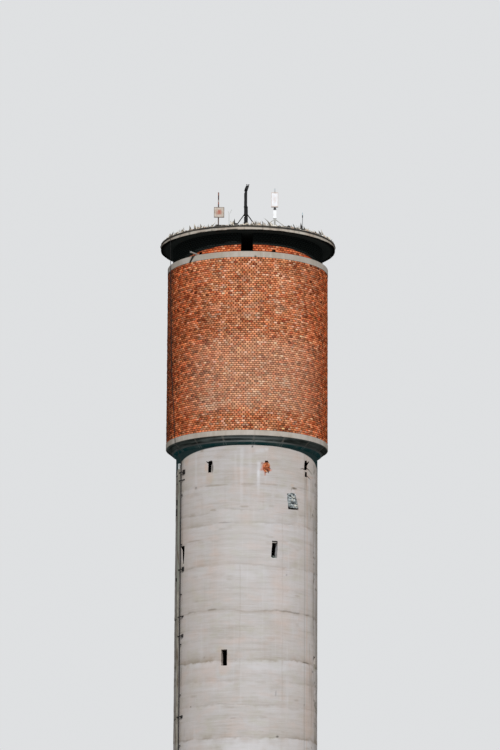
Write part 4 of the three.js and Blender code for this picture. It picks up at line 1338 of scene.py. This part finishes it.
# Plan angles where torn felt and crumbs lie thickest
SCRAP_HEAPS = np.array([4.0, 7.0, 10.5, 17.0, 21.0, 31.0, 39.0, 52.0, 60.0, 70.0, -24.0, -28.0, -12.0,
                        -38.0, -52.0, -64.0])


def build_roof_scraps():
    """Crumbled screed and torn felt along the roof's edge and on top of it."""
    draw = np.random.default_rng(17)
    count = 2400
    clusters = np.concatenate([draw.uniform(0.0, 360.0, 60), SCRAP_HEAPS])
    turn = clusters[draw.integers(0, len(clusters), count)] + draw.normal(0.0, 3.4, count)
    turn = np.where(draw.random(count) < 0.4, draw.uniform(0.0, 360.0, count), turn)
    spread = np.abs(draw.normal(0.0, 0.2, count)) * np.where(draw.random(count) < 0.6, 0.35, 1.6)
    size = np.clip(draw.lognormal(-3.35, 0.45, count), 0.014, 0.11)
    sizes = np.stack([size * draw.uniform(*share, count) for share in ((0.8, 1.6), (0.7, 1.2), (0.5, 1.1))], -1)
    radius = FELT_R - 0.02 - sizes[:, 0] * 0.75 - spread
    mesh = lump_mesh("roof_scraps", polar(radius, turn, ROOF_TOP - 0.01 + sizes[:, 2] * 0.35), sizes, draw)
    paint_stones(mesh, [(222, 214, 200), (204, 194, 176), (240, 238, 232), (130, 122, 106), (48, 46, 42),
                        (196, 168, 146), (34, 33, 31), (236, 228, 212)], count, draw)
    add_piece("roof_scraps", mesh, [RUBBLE], "mortar_fill")

    count = 900
    picked = np.concatenate([clusters, SCRAP_HEAPS, SCRAP_HEAPS])
    turn = picked[draw.integers(0, len(picked), count)] + draw.normal(0.0, 2.2, count)
    radius = FELT_R - 0.07 - np.abs(draw.normal(0.0, 0.16, count))
    height = np.clip(draw.lognormal(-2.35, 0.5, count), 0.04, 0.3)
    mesh = shard_mesh("torn_felt", polar(radius, turn, ROOF_TOP - 0.006), height, turn, draw)
    paint_stones(mesh, [(226, 216, 202), (206, 194, 174), (240, 238, 232), (140, 130, 112), (44, 42, 38)],
                 count, draw)
    add_piece("torn_felt", mesh, [RUBBLE], "felt")


def shard_mesh(name, places, heights, turns, draw):
    """Torn strips that stand up: a three-sided foot, a bent middle and a pointed tip, leaning anyhow."""
    count = len(places)
    spin = draw.uniform(0.0, math.tau, count)
    lean = np.stack([draw.normal(0.0, 0.3, count), draw.normal(0.0, 0.3, count), np.ones(count)], -1)
    bend = np.stack([draw.normal(0.0, 0.25, count), draw.normal(0.0, 0.25, count), np.zeros(count)], -1)
    lean -= 0.35 * polar(1.0, turns, 0.0)
    width = heights * draw.uniform(0.1, 0.28, count)
    feet = [np.stack([np.cos(spin + turn), np.sin(spin + turn), np.zeros(count)], -1) * (width * share)[:, None]
            for turn, share in ((0.0, 1.0), (2.3, 0.7), (4.1, 0.45))]
    middle = places + (lean * 0.55 + bend * 0.3) * heights[:, None]
    tip = places + (lean + bend) * heights[:, None]
    verts = np.stack([*(places + side for side in feet), *(middle + side * 0.8 for side in feet), tip], 1)
    base = np.arange(count)[:, None, None] * 7
    sides = np.array([(0, 1, 4, 3), (1, 2, 5, 4), (2, 0, 3, 5)])
    ends = np.array([(3, 4, 6), (4, 5, 6), (5, 3, 6), (0, 2, 1)])
    return make_mesh(name, verts.reshape(-1, 3), [(base + sides).reshape(-1, 4), (base + ends).reshape(-1, 3)])


def half_width(outline, level):
    """How far an outline reaches to the left and right at a level."""
    crossings = []
    for (x0, z0), (x1, z1) in zip(outline, [*outline[1:], outline[0]]):
        if min(z0, z1) <= level < max(z0, z1):
            crossings.append(x0 + (x1 - x0) * (level - z0) / (z1 - z0))
    return (min(crossings), max(crossings)) if crossings else (0.0, 0.0)


def laid_stones(outline, angle, bottom, low, high, row_height, width, draw):
    """Rough courses of stones that fill an outline: the place, size and facing angle of each."""
    stones = []
    level = low
    while level < high:
        height = min(draw.uniform(*row_height), high + 0.01 - level)
        left, right = half_width(outline, level + height / 2)
        x = left + 0.006
        while x < right - 0.02 and height > 0.02:
            wide = min(draw.uniform(*width), right - 0.004 - x)
            turn = angle + math.degrees((x + wide / 2) / SHAFT_R)
            place = polar(SHAFT_R - 0.06 + draw.normal(0.0, 0.009), turn, bottom + level + height / 2)
            stones.append((place, (wide * 0.74, 0.085, height * 0.74), turn))
            x += wide
        level += height
    return stones


def add_fill(name, node, stones, draw, wobble, square, shake, tones, back, angle, bottom, depth, tone, material,
             slot):
    """Stones with a rough block of mortar behind them, as one mesh."""
    places, sizes, facing = zip(*stones)
    places = np.array(places) + draw.normal(0.0, wobble, (len(places), 3))
    lumps = lump_mesh(name, places, np.array(sizes), draw, facing, square, shake)
    paint_stones(lumps, tones, len(places), draw)
    outline = ragged(back, 0.06, 0.004, 41)
    block = make_mesh("block", *prism(outline, 0.2 - depth, SHAFT_R - depth, angle, bottom))
    paint_colour(block, "stone", srgb(*tone)[:3])
    things = [put(name, mesh) for mesh in (lumps, block)]
    with bpy.context.temp_override(active_object=things[0], object=things[0], selected_editable_objects=things):
        bpy.ops.object.join()
    mesh = things[0].data
    bpy.data.objects.remove(things[0])
    add_piece(name, mesh, [material], slot, node)


def build_fills():
    """The walled-up hatch, the broken brick in the front vent, and mortar and trim round one slit."""
    draw = np.random.default_rng(29)
    outline = [(x * 0.93 + 0.02, z) for x, z in HATCH]
    stones = laid_stones(outline, HATCH_ANGLE, HATCH_BOTTOM, 0.11, 0.64, (0.045, 0.1), (0.04, 0.14), draw)
    tones = [(212, 219, 222), (196, 203, 204), (172, 179, 180), (204, 203, 194), (140, 148, 148), (78, 84, 88)]
    back = [(x * 0.9 + 0.02, max(z, 0.12)) for x, z in HATCH]
    add_fill("hatch_rubble", "walled_hatch", stones, draw, 0.008, 0.3, 0.12, tones, back, HATCH_ANGLE,
             HATCH_BOTTOM, 0.036, (142, 150, 152), RUBBLE, "mortar_fill")

    draw = np.random.default_rng(31)
    stones = laid_stones(FRONT_VENT, FRONT_VENT_ANGLE, VENT_BOTTOM, -0.045, 0.31, (0.045, 0.075), (0.045, 0.11),
                         draw)
    stones = [stone for stone in stones if draw.random() > 0.06]
    tones = [(206, 120, 76), (196, 108, 66), (216, 144, 102), (170, 90, 56), (222, 168, 130), (110, 60, 42)]
    back = [(x * 0.95, min(z, 0.31)) for x, z in FRONT_VENT if z < 0.39]
    add_fill("vent_bricks", "bricked_vent", stones, draw, 0.009, 0.4, 0.08, tones, back, FRONT_VENT_ANGLE,
             VENT_BOTTOM, 0.03, (178, 98, 62), BROKEN_BRICK, "brick")

    draw = np.random.default_rng(33)
    turn = np.array([21.7, 22.6, 23.3, 24.4, 25.2])
    places = polar(SHAFT_R - 0.12, turn, TOP_ROW + np.array([0.02, 0.07, 0.05, 0.02, 0.03]))
    sizes = np.stack([draw.uniform(0.02, 0.035, 5), np.full(5, 0.07), draw.uniform(0.02, 0.04, 5)], -1)
    mesh = lump_mesh("sill_mortar", places, sizes, draw, turn, 0.3, 0.1)
    paint_stones(mesh, [(128, 142, 134), (92, 100, 96)], 5, draw)
    add_piece("sill_mortar", mesh, [RUBBLE], "mortar_fill")

    bar = ragged(rectangle(0.21, 0.0, 0.04), 0.03, 0.003, 35)
    mesh = make_mesh("slit_bar", *prism(bar, 0.09, SHAFT_R + 0.007, 23.1, TOP_ROW + 0.58))
    add_piece("slit_bar", mesh, [DARK_STEEL], "dark_steel")
    lip = ragged(rectangle(0.19, 0.0, 0.026), 0.03, 0.003, 37)
    mesh = make_mesh("slit_lip", *prism(lip, 0.09, SHAFT_R - 0.004, 22.9, TOP_ROW + 0.55))
    paint_colour(mesh, "stone", srgb(196, 188, 180)[:3])
    add_piece("slit_lip", mesh, [RUBBLE], "mortar_fill")


# Pipe, straps, brackets and cables


def build_spout():
    """The open rainwater pipe that sticks out of the attic wall over the ring: its outside, then its inside."""
    route = [(2.62, 33.773), (2.9, 33.786), (3.15, 33.8), (3.31, 33.81)]
    draw = np.random.default_rng(43)
    sides = 14
    angle = np.linspace(0.0, math.tau, sides, endpoint=False)
    across = polar(1.0, SPOUT_ANGLE + 90.0, 0.0)
    rings = []
    for size, points in ((0.027, route), (0.021, route[::-1])):
        for r, level in points:
            reach = (size * (1.0 + draw.normal(0.0, 0.02, sides)))[:, None]
            up = np.array([0.0, 0.0, 1.0]) * np.sin(angle)[:, None]
            rings.append(polar(r, SPOUT_ANGLE, level) + reach * (across * np.cos(angle)[:, None] + up))
    grid = np.arange(len(rings) * sides).reshape(len(rings), sides)
    faces = band_quads(np.concatenate([grid, grid[:1]]), inward=True)
    mesh = make_mesh("spout_pipe", np.concatenate(rings), [faces])
    set_smooth(mesh, 50.0)
    add_piece("spout_pipe", mesh, [ZINC], "zinc", "roof_spout")


# A strap's height and how it slants, in metres a degree, its route over the pipe and the cable as plan angle
# and distance from the wall, and the plan angle of the wall plates
STRAP_HEIGHT = 0.036
STRAP_SLANT = 0.0022
STRAP_ROUTE = [(-80.0, 0.004), (-69.6, 0.006), (-68.9, 0.05), (-68.2, 0.089), (-66.2, 0.089), (-65.5, 0.05),
               (-64.8, 0.02), (-64.3, 0.036), (-63.3, 0.036), (-62.8, 0.008), (-59.6, 0.004)]
PLATE_ANGLE = -61.2
# Level, height of the wall plate beside the cable, its width, and whether the strap crosses the whole pipe
BRACKETS = [(25.5, 0.14, 0.0, True), (25.8, 0.16, 0.17, True), (22.2, 0.16, 0.13, False),
            (20.45, 0.05, 0.08, True), (19.75, 0.11, 0.11, False), (16.8, 0.1, 0.1, True),
            (13.85, 0.12, 0.12, False), (10.9, 0.12, 0.12, True), (7.95, 0.12, 0.12, False),
            (5.0, 0.12, 0.12, True), (2.05, 0.12, 0.12, False)]


def strap(route, level, seed):
    """A thin steel band along the route of (plan angle, distance from the wall)."""
    draw = np.random.default_rng(seed)
    turn, out = np.array(route).T
    turn = turn + draw.normal(0.0, 0.12, len(route))
    middle = level + STRAP_SLANT * (turn - turn.mean()) + draw.normal(0.0, 0.002, len(route))
    rings = [polar(SHAFT_R + out + back, turn, middle + up * STRAP_HEIGHT)
             for back, up in ((0.005, 0.5), (0.005, -0.5), (-0.001, -0.5), (-0.001, 0.5))]
    grid = np.arange(4 * len(route)).reshape(4, -1)
    return np.concatenate(rings), [band_quads(grid.T), grid[None, ::-1, 0], grid[None, :, -1]]


def build_brackets():
    """Straps that hold the pipe and the cable, their wall plates with two bolts each, and lumps beside."""
    parts = []
    turn = np.linspace(0.0, math.tau, 6, endpoint=False)
    bolt = 0.013 * np.stack([np.cos(turn), np.sin(turn)], -1)
    for index, (level, height, width, crosses) in enumerate(BRACKETS):
        parts.append(strap(STRAP_ROUTE if crosses else STRAP_ROUTE[4:], level, 610 + index))
        if not width:
            continue
        plate = ragged(rectangle(width, 0.0, height), 0.05, 0.004, 640 + index)
        parts.append(prism(plate, 0.04, SHAFT_R + 0.022, PLATE_ANGLE, level - height / 2))
        for side in (-0.3, 0.3):
            parts.append(prism(bolt + (side * width, 0.0), 0.03, SHAFT_R + 0.037, PLATE_ANGLE,
                               level + side * height))
    for angle, level, height in ((-77.0, 24.78, 0.2), (-78.5, 24.42, 0.26), (-76.0, 21.9, 0.12)):
        lump = ragged(rectangle(0.07, 0.0, height), 0.06, 0.006, int(level * 10))
        parts.append(prism(lump, 0.05, SHAFT_R + 0.03, angle, level - height / 2))
    add_piece("pipe_brackets", make_mesh("pipe_brackets", *join_parts(parts)), [DARK_STEEL], "dark_steel")


def build_mast_cables():
    """Feeder cables along the mast with straps round them, and a wrap round its head."""
    draw = np.random.default_rng(53)
    low, high = (corner.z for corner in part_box("mast"))
    parts = []
    # Where each cable lies across the mast, its top and its radius
    for side, top, radius in ((-0.95, high - 0.03, 0.012), (1.0, high - 0.55, 0.014), (-1.0, high - 0.66, 0.01),
                              (-0.55, low + 0.8, 0.012)):
        levels = np.arange(low + 0.03, top, 0.09)
        out = MAST_R + radius - 0.001
        x = MAST_X + side * out + draw.normal(0.0, 0.0012, len(levels))
        y = -math.sqrt(1.0 - side * side) * out + draw.normal(0.0, 0.0015, len(levels))
        parts.append(tube(np.stack([x, y, levels], -1), radius))
    wrap = [(MAST_X + x, 0.0, high + up) for x, up in ((-0.006, 0.01), (0.016, 0.09), (0.054, 0.19))]
    parts.append(tube(wrap, 0.064, 14))
    for level in np.arange(low + 0.62, high - 0.6, 0.31):
        ends = [(MAST_X - 0.004, 0.0, level), (MAST_X - 0.004, 0.0, level + 0.022)]
        parts.append(tube(ends, MAST_R + 0.03, 18))
    add_piece("mast_cables", make_mesh("mast_cables", *join_parts(parts)), [MAST_STEEL], "dark_steel")


# The CAD pieces that are right as they are only get a finish
KEPT_LOOKS = {
    "foundation": FOOTING, "door_step": FOOTING, "flat_aerial_base": FOOTING, "panel_aerial_base": FOOTING,
    "door_frame": RUSTY_STEEL, "down_conductor": DARK_STEEL, "service_pipe": PIPE_ZINC, "mast": MAST_STEEL,
    "mast_head": MAST_STEEL, "mast_tripod": MAST_STEEL, "flat_aerial_post": ROD, "flat_aerial": GREY_COVER,
    "panel_aerial_legs": ZINC, "panel_aerial_post": BOX_POST, "panel_aerial": WHITE_COVER, "left_whip": ZINC,
    "right_whip": WHIP, "edge_cable": ZINC,
}


def dress_kept_nodes():
    for node, look in KEPT_LOOKS.items():
        mesh = NODES[node].data
        mesh.materials.clear()
        mesh.materials.append(look)


# Stage, light and camera


def build_stage():
    reach = 450.0
    corners = [(-reach, -reach, 0.0), (reach, -reach, 0.0), (reach, reach, 0.0), (-reach, reach, 0.0)]
    mesh = make_mesh("floor", corners, [[[0, 1, 2, 3]]])
    mesh.materials.append(stage_floor())
    floor = put("floor", mesh)
    floor.visible_diffuse = False


def build_light():
    """A low sun behind the camera, and a sky that lights the tower less than it looks."""
    lamp = bpy.data.lights.new("key", "SUN")
    lamp.energy = SUN_STRENGTH
    lamp.angle = math.radians(SUN_SIZE)
    put("key", lamp).rotation_euler = (math.radians(90.0 - SUN_HEIGHT), 0.0, math.radians(SUN_AZIMUTH))
    world = bpy.data.worlds.new("studio")
    bpy.context.scene.world = world
    world.use_nodes = True
    nodes, links = world.node_tree.nodes, world.node_tree.links
    nodes.clear()
    seen, strength, back, out = (nodes.new(f"ShaderNode{kind}")
                                 for kind in ("LightPath", "MapRange", "Background", "OutputWorld"))
    strength.inputs["To Min"].default_value = SKY_LIGHT
    strength.inputs["To Max"].default_value = BACKDROP
    back.inputs["Color"].default_value = (0.97, 0.985, 1.0, 1.0)
    links.new(seen.outputs["Is Camera Ray"], strength.inputs["Value"])
    links.new(strength.outputs["Result"], back.inputs["Strength"])
    links.new(back.outputs[0], out.inputs["Surface"])
    view = bpy.context.scene.view_settings
    view.view_transform = "Standard"
    view.look = "None"


def build_camera():
    data = bpy.data.cameras.new("camera")
    data.lens = LENS
    data.sensor_width = 36.0
    data.sensor_fit = "AUTO"
    data.clip_start = 1.0
    data.clip_end = 2000.0
    camera = put("camera", data)
    camera.location = (0.0, -CAMERA_DISTANCE, EYE_LEVEL)
    camera.rotation_mode = "XYZ"
    aim = Euler((math.radians(90.0 + CAMERA_PITCH), 0.0, math.radians(-CAMERA_YAW))).to_matrix()
    camera.rotation_euler = (aim @ Matrix.Rotation(math.radians(CAMERA_ROLL), 3, "Z")).to_euler()
    bpy.context.scene.camera = camera


build_camera()
build_light()
build_stage()
build_shaft_tier("shaft_lower", FLOOR_LEVEL, TIER, LOWER_START, LOWER_COUNT, 0.1)
build_shaft_tier("shaft_upper", TIER, SHAFT_TOP, UPPER_START, UPPER_COUNT, 0.06)
build_brickwork()
build_ring_beam()
build_cover_ring()
build_roof()
build_felt()
build_roof_scraps()
build_fills()
build_spout()
build_brackets()
build_mast_cables()
dress_kept_nodes()
